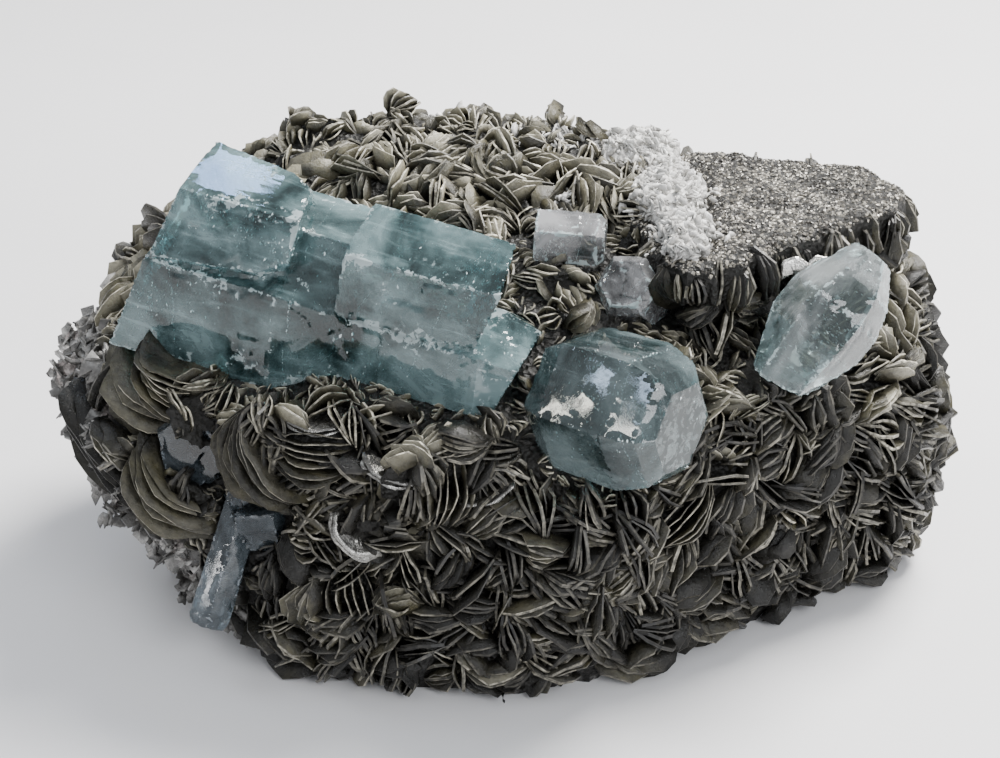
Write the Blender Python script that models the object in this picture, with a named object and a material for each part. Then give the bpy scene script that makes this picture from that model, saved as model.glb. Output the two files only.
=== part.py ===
"""Muscovite specimen: a block of mica books with aquamarine and quartz crystals grown in it.

The block stands on its flat underside. +X runs to its right end, +Y to its back, +Z up, and the
origin is the centre of the flat underside. Lengths are written in millimetres and scaled by MM.
"""

import math
import random
from collections import namedtuple

import bmesh
import bpy
from mathutils import Matrix, Vector, noise

MM = 0.001

# Corners of the bare mica block, in millimetres: its flat base, then each belt above it.
BASE_RING = [
    (2, -56), (-27, -52), (-44, -43), (-57, -31), (-68, -8), (-66, 24), (-40, 46),
    (10, 52), (58, 43), (84, 24), (89, -5), (70, -17), (40, -30), (18, -52),
]
BASE_LEVEL = 0.0
FOOT_CORNERS = [
    (-54, -37, 6), (-64, -33, 8), (-75, -26, 10), (-84, -19, 15), (-89, -14, 24),
    (-88, 6, 20), (-82, 24, 22), (96, -3, 12), (91, 20, 16),
]
BELT_CORNERS = [
    (0, -57, 28), (-34, -53, 28), (-70, -36, 28), (-93, -11, 34), (-97, -6, 40), (-99, -1, 48),
    (-98, 6, 50), (-87, 22, 48), (-76, 40, 42), (-30, 53, 45), (30, 55, 45), (74, 45, 45),
    (92, 22, 42), (97, 0, 28), (78, -19, 40), (46, -34, 46), (20, -54, 40),
]
SHOULDER_CORNERS = [
    (-10, -50, 60), (-45, -41, 60), (-76, -22, 60), (-88, 6, 54), (-73, 26, 64), (18, -47, 60),
    (37, -36, 62), (80, -16, 58), (91, 5, 56), (88, 22, 64), (60, 42, 68), (-60, 46, 72),
]
CROWN_CORNERS = [
    (-64, 28, 80), (-54, 40, 84), (-42, 40, 89), (-28, 42, 91), (-8, 42, 92), (12, 38, 90),
    (30, 30, 87), (10, -14, 79), (-30, -6, 80), (-60, 4, 77),
]
# The right shoulder ends in a flat ledge of fine mica, where the books met a wall of the pocket.
LEDGE_TOP = 87.0
LEDGE_THICK = 14.0
LEDGE_MIDDLE = (60, 4)
LEDGE_CORNERS = [
    (29, -14), (34, -29), (40, -31), (52, -24), (64, -15), (75, -5), (86, 2), (89, 10),
    (81, 24), (62, 29), (40, 34), (26, 14),
]
LEDGE_UNDERCUT = 0.82
BLOCK_CUTS = 1
BLOCK_ROUGHNESS = 1.8
ROUGHNESS_SCALE = 17.0
# How near the base a corner may lie, in metres, and still count as part of it.
BASE_REACH = 1e-6

# Mica books: plates that stand on edge all over the block.
BOOK_SEED = 11
BOOK_COUNT = 290
BOOK_SPACING = 8.6
BOOK_WIDTH = (11.0, 17.0)
BOOK_HEIGHT = (5.0, 7.5)
BOOK_THICK = (1.6, 2.4)
BOOK_TIP_THICK = 0.6
BOOK_ROOT = 3.0
BOOK_LEAN_DEG = 22.0
BOOK_FLOOR_CLEARANCE = 1.2
# A book's outline: how high its two shoulders stand, and where its highest corner is, as shares.
BOOK_SHOULDERS = (0.45, 0.55)
BOOK_PEAK = 0.1
# Faces that look down more steeply than this carry no books.
STEEPEST_SEAT = -0.75
TRIES_PER_BOOK = 60
# A book keeps this far from a crystal, measured at this height over its seat.
CRYSTAL_CLEARANCE = 2.2
CLEARANCE_HEIGHT = 4.0
# The part of the ledge without books of its own: its rim's depth, its left limit, its tilt.
LEDGE_BARE_DEPTH = 8.0
LEDGE_BARE_X = 24.0
LEDGE_BARE_TILT = 0.5
ROUGH_END_X = -82.0
# Large curved books on the left of the front: centre, way the face looks, radius, thickness.
BIG_BOOKS = [
    ((-71, -30, 56), (-0.62, -0.70, 0.35), 10.5, 3.0),
    ((-60, -38, 57), (0.35, -0.80, 0.50), 9.5, 2.6),
    ((-79, -26, 40), (-0.66, -0.62, -0.42), 13.0, 2.4),
    ((-66, -37, 36), (-0.45, -0.78, -0.44), 11.0, 2.6),
    ((-46, -46, 54), (-0.50, -0.85, -0.12), 10.5, 3.2),
    ((-33, -50, 59), (0.10, -0.70, 0.70), 9.0, 2.2),
    ((-17, -56, 52), (0.30, -0.90, -0.30), 9.5, 2.6),
    ((-26, -55, 38), (-0.25, -0.90, -0.35), 8.0, 2.4),
    ((14, -50, 10), (0.15, -0.80, -0.58), 11.0, 2.0),
]
BIG_BOOK_SIDES = 9
BIG_BOOK_TAPER = 0.86
# Books along the edge of the ledge: they stand on end, side by side.
EDGE_BOOK_SPACING = 8.0
EDGE_BOOK_WIDTH = (10.0, 12.5)
EDGE_BOOK_HEIGHT = (1.5, 3.0)
EDGE_BOOK_DROP = 7.0

# Lumps of the albite crust: middle and radii.
ALBITE_LUMPS = [
    ((36, 6, 86.0), (7, 16, 3.8)), ((31, 27, 87.0), (8, 10, 3.6)), ((38, -15, 86.4), (5, 10, 2.8)),
]
ALBITE_ROUGHNESS = 0.16
ALBITE_ROUGHNESS_SCALE = 2.3

# How far a crystal's corners are pushed out to cut its seat: its faces then clear it by 0.3 mm.
SEAT_GAP = 0.6

# A prism's place, its rings of (height on the c axis, corners), and how its two ends slope.
Prism = namedtuple("Prism", "frame rings end_slope foot_slope", defaults=((0.0, 0.0), (0.0, 0.0)))

AQUAMARINE = ((0.36, 0.58, 0.62), 0.12)
QUARTZ = ((0.80, 0.81, 0.85), 0.15)
MICA = ((0.27, 0.25, 0.21), 0.35)
ALBITE = ((0.86, 0.85, 0.82), 0.70)


def clear_scene():
    """Remove every object of the scene that the script starts in."""
    for found in list(bpy.data.objects):
        bpy.data.objects.remove(found)


def make_material(name, look):
    """A Principled material from a colour and a roughness."""
    colour, roughness = look
    material = bpy.data.materials.new(name)
    material.use_nodes = True
    shader = material.node_tree.nodes["Principled BSDF"]
    shader.inputs["Base Color"].default_value = (*colour, 1)
    shader.inputs["Roughness"].default_value = roughness
    shader.inputs["Metallic"].default_value = 0
    return material


def make_object(name, bm, material=None):
    """Turn a bmesh into a linked object, with its faces pointing out."""
    bmesh.ops.recalc_face_normals(bm, faces=bm.faces)
    mesh = bpy.data.meshes.new(name)
    bm.to_mesh(mesh)
    bm.free()
    made = bpy.data.objects.new(name, mesh)
    bpy.context.scene.collection.objects.link(made)
    if material:
        mesh.materials.append(material)
    return made


def hide_cutter(cutter):
    """Mark an object as a tool of the modelling, not a piece of the specimen."""
    cutter.hide_render = True
    cutter.display_type = "WIRE"


def boolean(target, other, operation, self_overlaps=False):
    """Add an exact Boolean to the target and hide its other operand."""
    modifier = target.modifiers.new(other.name, "BOOLEAN")
    modifier.operation = operation
    modifier.object = other
    modifier.solver = "EXACT"
    modifier.use_self = self_overlaps
    hide_cutter(other)


def evaluated_bmesh(source):
    """An object's shape with its modifiers, in its own space."""
    bpy.context.view_layer.update()
    bm = bmesh.new()
    bm.from_object(source, bpy.context.evaluated_depsgraph_get())
    return bm


def keep_main_body(target):
    """Apply the modifiers, and drop the chips that the cuts left loose."""
    bm = evaluated_bmesh(target)
    unseen = set(bm.verts)
    bodies = []
    while unseen:
        front = [unseen.pop()]
        body = list(front)
        while front:
            vert = front.pop()
            for edge in vert.link_edges:
                other = edge.other_vert(vert)
                if other in unseen:
                    unseen.remove(other)
                    front.append(other)
                    body.append(other)
        bodies.append(body)
    bodies.sort(key=len)
    bmesh.ops.delete(bm, geom=[v for body in bodies[:-1] for v in body], context="VERTS")
    target.modifiers.clear()
    bm.to_mesh(target.data)
    bm.free()


def axis_frame(origin, axis, faces):
    """A matrix with its z along axis and its x as near as can be to the direction faces."""
    z = Vector(axis).normalized()
    x = (Vector(faces) - z * Vector(faces).dot(z)).normalized()
    y = z.cross(x)
    turn = Matrix((x, y, z)).transposed().to_4x4()
    return Matrix.Translation(Vector(origin) * MM) @ turn


# ---- the block ----


def hull(points):
    """The convex hull of points in millimetres, as a bmesh."""
    bm = bmesh.new()
    for point in points:
        bm.verts.new(Vector(point) * MM)
    made = bmesh.ops.convex_hull(bm, input=bm.verts)
    inside = [g for g in made["geom_interior"] if isinstance(g, bmesh.types.BMVert)]
    bmesh.ops.delete(bm, geom=inside, context="VERTS")
    return bm


def roughen(bm, cuts, height):
    """Divide a hull evenly and push its skin in and out, but keep its base flat."""
    bmesh.ops.subdivide_edges(bm, edges=bm.edges, cuts=cuts, use_grid_fill=True)
    bmesh.ops.triangulate(bm, faces=bm.faces)
    bm.normal_update()
    moves = []
    for vert in bm.verts:
        on_base = vert.co.z < BASE_LEVEL * MM + BASE_REACH
        push = noise.noise(vert.co / (ROUGHNESS_SCALE * MM)) * height * MM
        moves.append(Vector() if on_base else vert.normal * push)
    for vert, move in zip(bm.verts, moves):
        vert.co += move


def build_block():
    """The bare block: a rough hull with the ledge on its right shoulder."""
    base = [(x, y, BASE_LEVEL) for x, y in BASE_RING]
    block = hull(base + BELT_CORNERS + SHOULDER_CORNERS + CROWN_CORNERS)
    roughen(block, BLOCK_CUTS, BLOCK_ROUGHNESS)
    return make_object("muscovite_matrix", block)


def build_ledge():
    """The flat-topped ledge, undercut all round."""
    middle = Vector(LEDGE_MIDDLE)
    top = [(x, y, LEDGE_TOP) for x, y in LEDGE_CORNERS]
    foot = [middle.lerp(Vector(corner), LEDGE_UNDERCUT) for corner in LEDGE_CORNERS]
    return hull(top + [(x, y, LEDGE_TOP - LEDGE_THICK) for x, y in foot])


# ---- mica books ----


def face_planes(shape):
    """A point on each face of a placed convex shape, and the way that the face looks."""
    turn = shape.matrix_world.to_3x3()
    return [(shape.matrix_world @ face.center, turn @ face.normal) for face in shape.data.polygons]


def gap_outside(planes, point):
    """How far a point lies outside a convex shape. Inside it, the answer is negative."""
    return max((point - centre).dot(out) for centre, out in planes)


def surface_seats(mesh, count, spacing, chance):
    """Evenly strewn seats on the block: a point and the outward direction at each."""
    faces = [face for face in mesh.polygons if face.normal.z > STEEPEST_SEAT]
    weights = [face.area for face in faces]
    seats = []
    tries = 0
    while len(seats) < count and tries < count * TRIES_PER_BOOK:
        tries += 1
        face = chance.choices(faces, weights)[0]
        a, b, c = (mesh.vertices[i].co for i in face.vertices)
        u, v = sorted((chance.random(), chance.random()))
        point = a * u + b * (v - u) + c * (1 - v)
        if all((point - seat).length > spacing * MM for seat, _ in seats):
            seats.append((point, face.normal.copy()))
    return seats


def add_plate(bm, frame, outline, root_thick, tip_thick):
    """A plate with its outline in the frame's x and z, thinner towards its tip."""
    root = min(z for _, z in outline)
    length = max(z for _, z in outline) - root
    sides = []
    for side in (-1, 1):
        ring = []
        for x, z in outline:
            thick = root_thick + (tip_thick - root_thick) * (z - root) / length
            ring.append(bm.verts.new(frame @ Vector((x, side * thick / 2, z))))
        sides.append(ring)
    front, back = sides
    bm.faces.new(front)
    bm.faces.new(reversed(back))
    for i in range(len(outline)):
        j = (i + 1) % len(outline)
        bm.faces.new((front[j], front[i], back[i], back[j]))


def book_outline(width, height, root):
    """Half of a rounded plate, from its root in the block to its free edge."""
    half = width / 2
    low, high = BOOK_SHOULDERS
    return [
        (-half, -root), (half, -root), (half, height * low), (half * BOOK_PEAK, height),
        (-half, height * high),
    ]


def bare_of_books(point, out, crystals):
    """True where the block shows no books: its ledge, its rough left end and its crystals."""
    x, y, z = point / MM
    if z > LEDGE_TOP - LEDGE_BARE_DEPTH and x > LEDGE_BARE_X and out.z > LEDGE_BARE_TILT:
        return True
    if x < ROUGH_END_X:
        return True
    if any((point / MM - Vector(book[0])).length < book[2] for book in BIG_BOOKS):
        return True
    tip = point + out * CLEARANCE_HEIGHT * MM
    return any(gap_outside(crystal, tip) < CRYSTAL_CLEARANCE * MM for crystal in crystals)


def add_edge_books(bm, chance):
    """The row of books round the ledge, each standing across its edge."""
    corners = [Vector((x, y, LEDGE_TOP - EDGE_BOOK_DROP)) for x, y in LEDGE_CORNERS]
    up = Vector((0, 0, 1))
    for start, end in zip(corners, corners[1:] + corners[:1]):
        count = max(1, round((end - start).length / EDGE_BOOK_SPACING))
        out = (end - start).cross(up)
        for n in range(count):
            width = chance.uniform(*EDGE_BOOK_WIDTH) * MM
            height = chance.uniform(*EDGE_BOOK_HEIGHT) * MM
            frame = axis_frame(start.lerp(end, (n + 0.5) / count), out, up)
            outline = book_outline(width, height, 2 * BOOK_ROOT * MM)
            add_plate(bm, frame, outline, BOOK_THICK[1] * MM, BOOK_THICK[0] * MM)


def build_books(block, crystals):
    """Every standing book of the block, as one mesh whose plates overlap."""
    chance = random.Random(BOOK_SEED)
    bm = bmesh.new()
    add_edge_books(bm, chance)
    for point, out in surface_seats(block.data, BOOK_COUNT, BOOK_SPACING, chance):
        width = chance.uniform(*BOOK_WIDTH) * MM
        height = chance.uniform(*BOOK_HEIGHT) * MM
        thick = chance.uniform(*BOOK_THICK) * MM
        turn = chance.uniform(0, math.pi)
        lean = math.radians(chance.uniform(-BOOK_LEAN_DEG, BOOK_LEAN_DEG))
        if bare_of_books(point, out, crystals):
            continue
        side = out.orthogonal().normalized()
        frame = Matrix.Rotation(turn, 4, out) @ axis_frame((0, 0, 0), out, side)
        frame = Matrix.Translation(point) @ frame @ Matrix.Rotation(lean, 4, "X")
        outline = book_outline(width, height, BOOK_ROOT * MM)
        lowest = min((frame @ Vector((x, 0, z))).z for x, z in outline)
        if lowest < BOOK_FLOOR_CLEARANCE * MM:
            frame = Matrix.Translation((0, 0, BOOK_FLOOR_CLEARANCE * MM - lowest)) @ frame
        add_plate(bm, frame, outline, thick, BOOK_TIP_THICK * MM)
    for centre, faces, radius, thick in BIG_BOOKS:
        add_big_book(bm, centre, faces, radius, thick)
    return bm


def add_big_book(bm, centre, faces, radius, thick):
    """One of the large round books, lying nearly flat against the block."""
    frame = axis_frame(centre, faces, (0.2, 0.1, 1))
    bmesh.ops.create_cone(
        bm, cap_ends=True, segments=BIG_BOOK_SIDES, depth=thick * MM,
        radius1=radius * MM, radius2=radius * BIG_BOOK_TAPER * MM, matrix=frame,
    )


# ---- crystals ----


def six_sides(radius, turn_deg=0.0, middle=(0.0, 0.0)):
    """The corners of a hexagon round the c axis, in millimetres."""
    corners = []
    for i in range(6):
        angle = math.radians(turn_deg + 60 * i)
        corners.append(
            (middle[0] + radius * math.cos(angle), middle[1] + radius * math.sin(angle))
        )
    return corners


def add_prism(bm, prism, push=0.0):
    """A closed solid through the prism's rings, along +Z, its corners pushed out by push."""
    loops = []
    slopes = [prism.foot_slope] + [(0.0, 0.0)] * (len(prism.rings) - 2) + [prism.end_slope]
    for slope, (height, corners) in zip(slopes, prism.rings):
        loops.append([
            bm.verts.new(Vector((x, y, height + x * slope[0] + y * slope[1])) * MM)
            for x, y in corners
        ])
    bm.faces.new(reversed(loops[0]))
    bm.faces.new(loops[-1])
    for low, high in zip(loops, loops[1:]):
        for i in range(len(low)):
            j = (i + 1) % len(low)
            bm.faces.new((low[i], low[j], high[j]))
            bm.faces.new((low[i], high[j], high[i]))
    bm.normal_update()
    for vert in bm.verts:
        vert.co += vert.normal * push * MM


def prism_object(name, prism, material=None, push=0.0):
    """One prism as an object, turned and moved into its place in the block."""
    bm = bmesh.new()
    add_prism(bm, prism, push)
    made = make_object(name, bm, material)
    made.matrix_world = prism.frame
    return made


def grow_crystal(name, prisms, material):
    """A crystal: its first prism, with the others grown into it."""
    crystal = prism_object(name, prisms[0], material)
    for n, prism in enumerate(prisms[1:]):
        boolean(crystal, prism_object(f"{name}_part{n}", prism), "UNION")
    return crystal


def seat_cutters(name, prisms):
    """The crystal's prisms once more, slightly larger, to cut its seat in the block."""
    cutters = [prism_object(f"{name}_seat{n}", p, push=SEAT_GAP) for n, p in enumerate(prisms)]
    for cutter in cutters:
        hide_cutter(cutter)
    return cutters


def main_aquamarine():
    """The long aquamarine across the top: parallel prisms grown together, broken at the ends."""
    frame = axis_frame((-66, -6, 81), (76, -32, -9), (0, -0.88, 0.47))
    body = [
        (-0.2, six_sides(22.0, 0, (-4.0, 6.0))), (30, six_sides(21.4, 0, (-4.2, 6.0))),
        (42, six_sides(13.2, 0, (-1.1, 6.4))), (73, six_sides(13.0, 0, (-1.0, 6.5))),
        (79.6, six_sides(10.5, 0, (-1.0, 6.5))),
    ]
    top = [
        (-1.9, six_sides(15.4, -10.5, (9.0, -6.5))), (26, six_sides(12.6, -10.5, (11.7, -7.0))),
        (26.1, six_sides(9.0, -10.5, (14.0, -8.0))),
    ]
    between = [(20, six_sides(13.8, -20, (2.0, -3.6))), (46, six_sides(13.8, -20, (2.0, -3.6)))]
    right = [
        (42, six_sides(13.6, 0, (6.0, -5.9))), (60, six_sides(13.6, 0, (6.0, -5.9))),
        (66, six_sides(12.6, 0, (6.4, -6.6))),
    ]
    return [
        Prism(frame, body, (0.30, -0.28), (0.15, -0.30)),
        Prism(frame, top, (0.30, 0.0), (0.27, -0.23)),
        Prism(frame, between),
        Prism(frame, right, (0.50, -0.09), (0.0, -0.06)),
    ]


def centre_aquamarine():
    """The stout aquamarine at the front, with a bevelled end."""
    frame = axis_frame((35, -60, 66), (0.80, -0.60, 0.03), (0, -0.3, 1))
    rings = [
        (-29, six_sides(12.0, 8)), (-24, six_sides(15.0, 8)), (-9, six_sides(15.4, 8)),
        (-2.5, six_sides(13.0, 8)), (0, six_sides(9.5, 8)),
    ]
    return [Prism(frame, rings)]


def right_aquamarine():
    """The clear aquamarine under the ledge, pointing down: domed above, bevelled to an edge."""
    frame = axis_frame((70.5, -26, 80), (-0.63, -0.34, -0.70), (0, -0.88, 0.47))
    middle = (0.0, -0.7)
    tip = [(9.0, 3.6), (5.0, 5.4), (-4.0, 2.8), (-4.0, -4.6), (5.0, -7.0), (9.0, -5.2)]
    rings = [
        (-8, six_sides(4.5, 30)), (-1, six_sides(8.6, 30, (0.0, -0.8))),
        (5, six_sides(10.6, 30, middle)), (12, six_sides(10.6, 30, middle)), (22, tip),
    ]
    return [Prism(frame, rings, (0.35, 0.19))]


def lower_aquamarine():
    """The slender aquamarine low on the left, and the short stub that it grows from."""
    slender = [(-10, six_sides(4.3, 5)), (17, six_sides(4.9, 5)), (19, six_sides(4.0, 5))]
    stub = [(-5.5, six_sides(8.2, 20)), (4.5, six_sides(8.2, 20))]
    return [
        Prism(axis_frame((-55, -42, 30), (-0.30, -0.275, -0.913), (0, -1, 0)), slender),
        Prism(axis_frame((-48.5, -39.5, 36), (-0.1, -0.25, 1), (0, -1, 0)), stub, (0.05, 0.1)),
    ]


def left_aquamarine():
    """The dark aquamarine half buried between the large books."""
    rings = [(-10, six_sides(9.0, 12)), (7, six_sides(9.0, 12)), (9, six_sides(7.8, 12))]
    return [Prism(axis_frame((-60, -30, 47.8), (-0.35, -0.85, 0.06), (0, 0, 1)), rings)]


def pale_quartz():
    """The pale blocky crystal on top, left of the ledge."""
    rings = [(0, six_sides(6.4, 15)), (13, six_sides(6.4, 15)), (14.5, six_sides(5.0, 15))]
    return [Prism(axis_frame((7.5, -9, 83), (1, -0.12, -0.03), (0, -0.62, 0.78)), rings)]


def grey_quartz():
    """The smooth grey crystal between the pale one and the ledge."""
    rings = [(-8, six_sides(7.4, 40)), (3.0, six_sides(7.2, 40)), (5.0, six_sides(5.4, 40))]
    return [Prism(axis_frame((27.0, -20, 76.5), (-0.35, -0.72, 0.60), (0, 0, 1)), rings)]


# ---- albite ----


def lump(name, middle, radii, push=0.0):
    """One rounded lump of albite, its skin pushed out by push."""
    bm = bmesh.new()
    bmesh.ops.create_icosphere(bm, subdivisions=2, radius=1)
    for vert in bm.verts:
        dent = noise.noise(vert.co * ALBITE_ROUGHNESS_SCALE + Vector(middle))
        rough = 1 + ALBITE_ROUGHNESS * dent
        reach = [radius * rough + push for radius in radii]
        vert.co = (Vector(middle) + Vector([r * c for r, c in zip(reach, vert.co)])) * MM
    return make_object(name, bm)


def grow_albite(material):
    """The white crust along the left edge of the ledge: lumps grown together."""
    crust = lump("albite", *ALBITE_LUMPS[0])
    crust.data.materials.append(material)
    for n, (middle, radii) in enumerate(ALBITE_LUMPS[1:]):
        boolean(crust, lump(f"albite_lump{n}", middle, radii), "UNION")
    return crust


def albite_cutters():
    """The lumps once more, slightly larger, to cut the crust's seat."""
    cutters = [
        lump(f"albite_seat{n}", middle, radii, push=SEAT_GAP)
        for n, (middle, radii) in enumerate(ALBITE_LUMPS)
    ]
    for cutter in cutters:
        hide_cutter(cutter)
    return cutters


def main():
    """Build the crystals, the crust and the block, and seat them in one another."""
    clear_scene()
    aquamarine = make_material("aquamarine", AQUAMARINE)
    quartz = make_material("quartz", QUARTZ)
    crystals = {
        "aquamarine_main": (main_aquamarine(), aquamarine),
        "aquamarine_centre": (centre_aquamarine(), aquamarine),
        "aquamarine_right": (right_aquamarine(), aquamarine),
        "aquamarine_lower": (lower_aquamarine(), aquamarine),
        "aquamarine_left": (left_aquamarine(), aquamarine),
        "quartz_pale": (pale_quartz(), quartz),
        "quartz_grey": (grey_quartz(), quartz),
    }
    cutters = []
    for name, (prisms, material) in crystals.items():
        grow_crystal(name, prisms, material)
        cutters += seat_cutters(name, prisms)
    grow_albite(make_material("albite", ALBITE))
    block = build_block()
    block.data.materials.append(make_material("mica", MICA))
    books = build_books(block, [face_planes(cutter) for cutter in cutters])
    boolean(block, make_object("ledge", build_ledge()), "UNION")
    boolean(block, make_object("books", books), "UNION", self_overlaps=True)
    for cutter in cutters + albite_cutters():
        boolean(block, cutter, "DIFFERENCE")
    keep_main_body(block)


if __name__ == "__main__":
    main()
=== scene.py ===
"""Muscovite specimen: the finished surfaces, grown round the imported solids.

Sizes are written in millimetres and scaled by MM. Each sub-assembly is a class that builds its
meshes and dresses them, and each finish is a small class that makes one material.
"""

import logging
import math
from dataclasses import dataclass, field, fields
from enum import Enum
from typing import Callable

import bmesh
import bpy
import numpy as np
from mathutils import Matrix, Vector, noise
from mathutils.bvhtree import BVHTree
from mathutils.kdtree import KDTree


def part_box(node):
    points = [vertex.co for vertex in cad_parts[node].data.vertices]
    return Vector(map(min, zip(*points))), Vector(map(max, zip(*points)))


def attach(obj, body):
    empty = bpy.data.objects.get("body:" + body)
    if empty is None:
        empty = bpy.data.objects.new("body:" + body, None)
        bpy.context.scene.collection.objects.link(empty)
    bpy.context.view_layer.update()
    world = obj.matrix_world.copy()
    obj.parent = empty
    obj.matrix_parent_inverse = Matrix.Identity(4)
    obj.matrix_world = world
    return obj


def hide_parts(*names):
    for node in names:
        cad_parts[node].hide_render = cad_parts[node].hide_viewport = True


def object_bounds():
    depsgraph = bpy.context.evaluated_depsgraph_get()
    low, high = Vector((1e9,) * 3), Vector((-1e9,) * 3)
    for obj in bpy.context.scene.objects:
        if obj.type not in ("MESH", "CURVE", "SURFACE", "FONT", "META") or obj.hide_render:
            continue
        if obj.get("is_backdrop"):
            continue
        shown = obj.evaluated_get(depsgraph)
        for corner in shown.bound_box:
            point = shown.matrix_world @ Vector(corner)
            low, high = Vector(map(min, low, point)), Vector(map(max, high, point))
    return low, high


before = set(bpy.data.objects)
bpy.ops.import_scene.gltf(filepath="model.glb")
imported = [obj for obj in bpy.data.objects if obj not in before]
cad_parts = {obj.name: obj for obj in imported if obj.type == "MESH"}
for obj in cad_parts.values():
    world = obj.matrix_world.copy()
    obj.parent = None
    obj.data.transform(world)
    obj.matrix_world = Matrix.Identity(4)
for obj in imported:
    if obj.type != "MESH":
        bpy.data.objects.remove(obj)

MM = 0.001
BODY = "root"
BLOCK = "muscovite_matrix"
LEDGE_TOP_Z = 87.0

Triple = tuple[float, float, float]
Pair = tuple[float, float]
Value = bpy.types.NodeSocket | float | Triple

log = logging.getLogger("specimen")


class Region(Enum):
    """The sides of the block that the mica books are gathered by."""

    FRONT = "front"
    RIGHT = "right"
    TOP = "top"
    BACK = "back"
    LEFT = "left"


class Surface(Enum):
    """The two material slots of a mica sheet."""

    FACE = 0
    EDGE = 1


# ---- node graphs and finishes ----


@dataclass(frozen=True)
class Pattern:
    """A cloudy noise, whose values from low to high become least to most."""

    size_mm: float
    detail: float = 3.0
    rough: float = 0.55
    warp: float = 0.0
    low: float = 0.3
    high: float = 0.7
    least: float = 0.0
    most: float = 1.0


class Graph:
    """A material's node tree, built with short calls."""

    def __init__(self, name: str) -> None:
        """Start a material that holds one Principled shader."""
        self.material = bpy.data.materials.new(name)
        self.material.use_nodes = True
        self.tree = self.material.node_tree
        self.shader = self.tree.nodes["Principled BSDF"]
        self.output = self.tree.nodes["Material Output"]
        self.place = self.node("ShaderNodeTexCoord").outputs["Object"]

    def node(self, kind: str, **settings: object) -> bpy.types.Node:
        """Add a node of that kind and set its properties."""
        made = self.tree.nodes.new(kind)
        for key, value in settings.items():
            setattr(made, key, value)
        return made

    def feed(self, socket: bpy.types.NodeSocket, value: Value) -> None:
        """Give an input socket a number, a colour or another node's output."""
        if isinstance(value, bpy.types.NodeSocket):
            self.tree.links.new(value, socket)
        elif isinstance(value, tuple) and socket.type == "RGBA":
            socket.default_value = (*value, 1.0)
        else:
            socket.default_value = value

    def set(self, **values: Value) -> None:
        """Feed the shader's inputs, named with underscores for spaces."""
        for key, value in values.items():
            self.feed(self.shader.inputs[key.replace("_", " ")], value)

    def grain(
        self, pattern: Pattern, place: bpy.types.NodeSocket | None = None
    ) -> bpy.types.NodeSocket:
        """A pattern's bare noise.

        Args:
            pattern: the size of its features, and how fine, rough and warped they are.
            place: coordinates to use in place of the object's own.

        Returns:
            The noise's value, from 0 to 1.
        """
        made = self.node("ShaderNodeTexNoise")
        self.feed(made.inputs["Vector"], place or self.place)
        made.inputs["Scale"].default_value = 1 / (pattern.size_mm * MM)
        made.inputs["Detail"].default_value = pattern.detail
        made.inputs["Roughness"].default_value = pattern.rough
        made.inputs["Distortion"].default_value = pattern.warp
        return made.outputs["Fac"]

    def spread(
        self, pattern: Pattern, place: bpy.types.NodeSocket | None = None
    ) -> bpy.types.NodeSocket:
        """A pattern's noise, stretched to its least and most."""
        noisy = self.grain(pattern, place)
        return self.span(noisy, pattern.low, pattern.high, (pattern.least, pattern.most))

    def cells(self, size_mm: float, output: str = "Color") -> bpy.types.NodeSocket:
        """Random cells of that size: a colour for each, or the distance in it."""
        made = self.node("ShaderNodeTexVoronoi")
        self.feed(made.inputs["Vector"], self.place)
        made.inputs["Scale"].default_value = 1 / (size_mm * MM)
        return made.outputs[output]

    def stretched(self, turn: Matrix, stretch: Triple) -> bpy.types.NodeSocket:
        """Object coordinates along a crystal's own axes.

        Args:
            turn: the crystal's axes, as the columns of a rotation.
            stretch: how much the pattern is scaled along each of them.

        Returns:
            The new coordinates.
        """
        made = self.node("ShaderNodeMapping", vector_type="POINT")
        self.feed(made.inputs["Vector"], self.place)
        made.inputs["Rotation"].default_value = turn.transposed().to_euler()
        scaled = self.node("ShaderNodeVectorMath", operation="MULTIPLY")
        self.feed(scaled.inputs[0], made.outputs[0])
        scaled.inputs[1].default_value = stretch
        return scaled.outputs[0]

    def span(
        self, value: Value, low: float, high: float, to: Pair = (0.0, 1.0)
    ) -> bpy.types.NodeSocket:
        """Map a value from low..high to another range, without going past its ends."""
        made = self.node("ShaderNodeMapRange")
        self.feed(made.inputs["Value"], value)
        made.inputs["From Min"].default_value = low
        made.inputs["From Max"].default_value = high
        made.inputs["To Min"].default_value = to[0]
        made.inputs["To Max"].default_value = to[1]
        return made.outputs[0]

    def blend(self, share: Value, first: Value, second: Value) -> bpy.types.NodeSocket:
        """Mix two colours by a share from 0 to 1."""
        made = self.node("ShaderNodeMix", data_type="RGBA")
        self.feed(made.inputs["Factor"], share)
        colours = [socket for socket in made.inputs if socket.type == "RGBA"]
        self.feed(colours[0], first)
        self.feed(colours[1], second)
        return next(socket for socket in made.outputs if socket.type == "RGBA")

    def shaded(self, colour: Value, by: Value) -> bpy.types.NodeSocket:
        """Darken and lighten a colour by a factor."""
        made = self.node("ShaderNodeVectorMath", operation="SCALE")
        self.feed(made.inputs[0], colour)
        self.feed(made.inputs["Scale"], by)
        return made.outputs[0]

    def maths(self, operation: str, first: Value, second: Value) -> bpy.types.NodeSocket:
        """Join two numbers with one arithmetic step."""
        made = self.node("ShaderNodeMath", operation=operation)
        self.feed(made.inputs[0], first)
        self.feed(made.inputs[1], second)
        return made.outputs[0]

    def plus(self, first: Value, second: Value) -> bpy.types.NodeSocket:
        """The sum of two numbers."""
        return self.maths("ADD", first, second)

    def times(self, first: Value, second: Value) -> bpy.types.NodeSocket:
        """The product of two numbers."""
        return self.maths("MULTIPLY", first, second)

    def carried(self, name: str) -> bpy.types.NodeSocket:
        """A number that the mesh carries at its points."""
        return self.node("ShaderNodeAttribute", attribute_name=name).outputs["Fac"]

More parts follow.
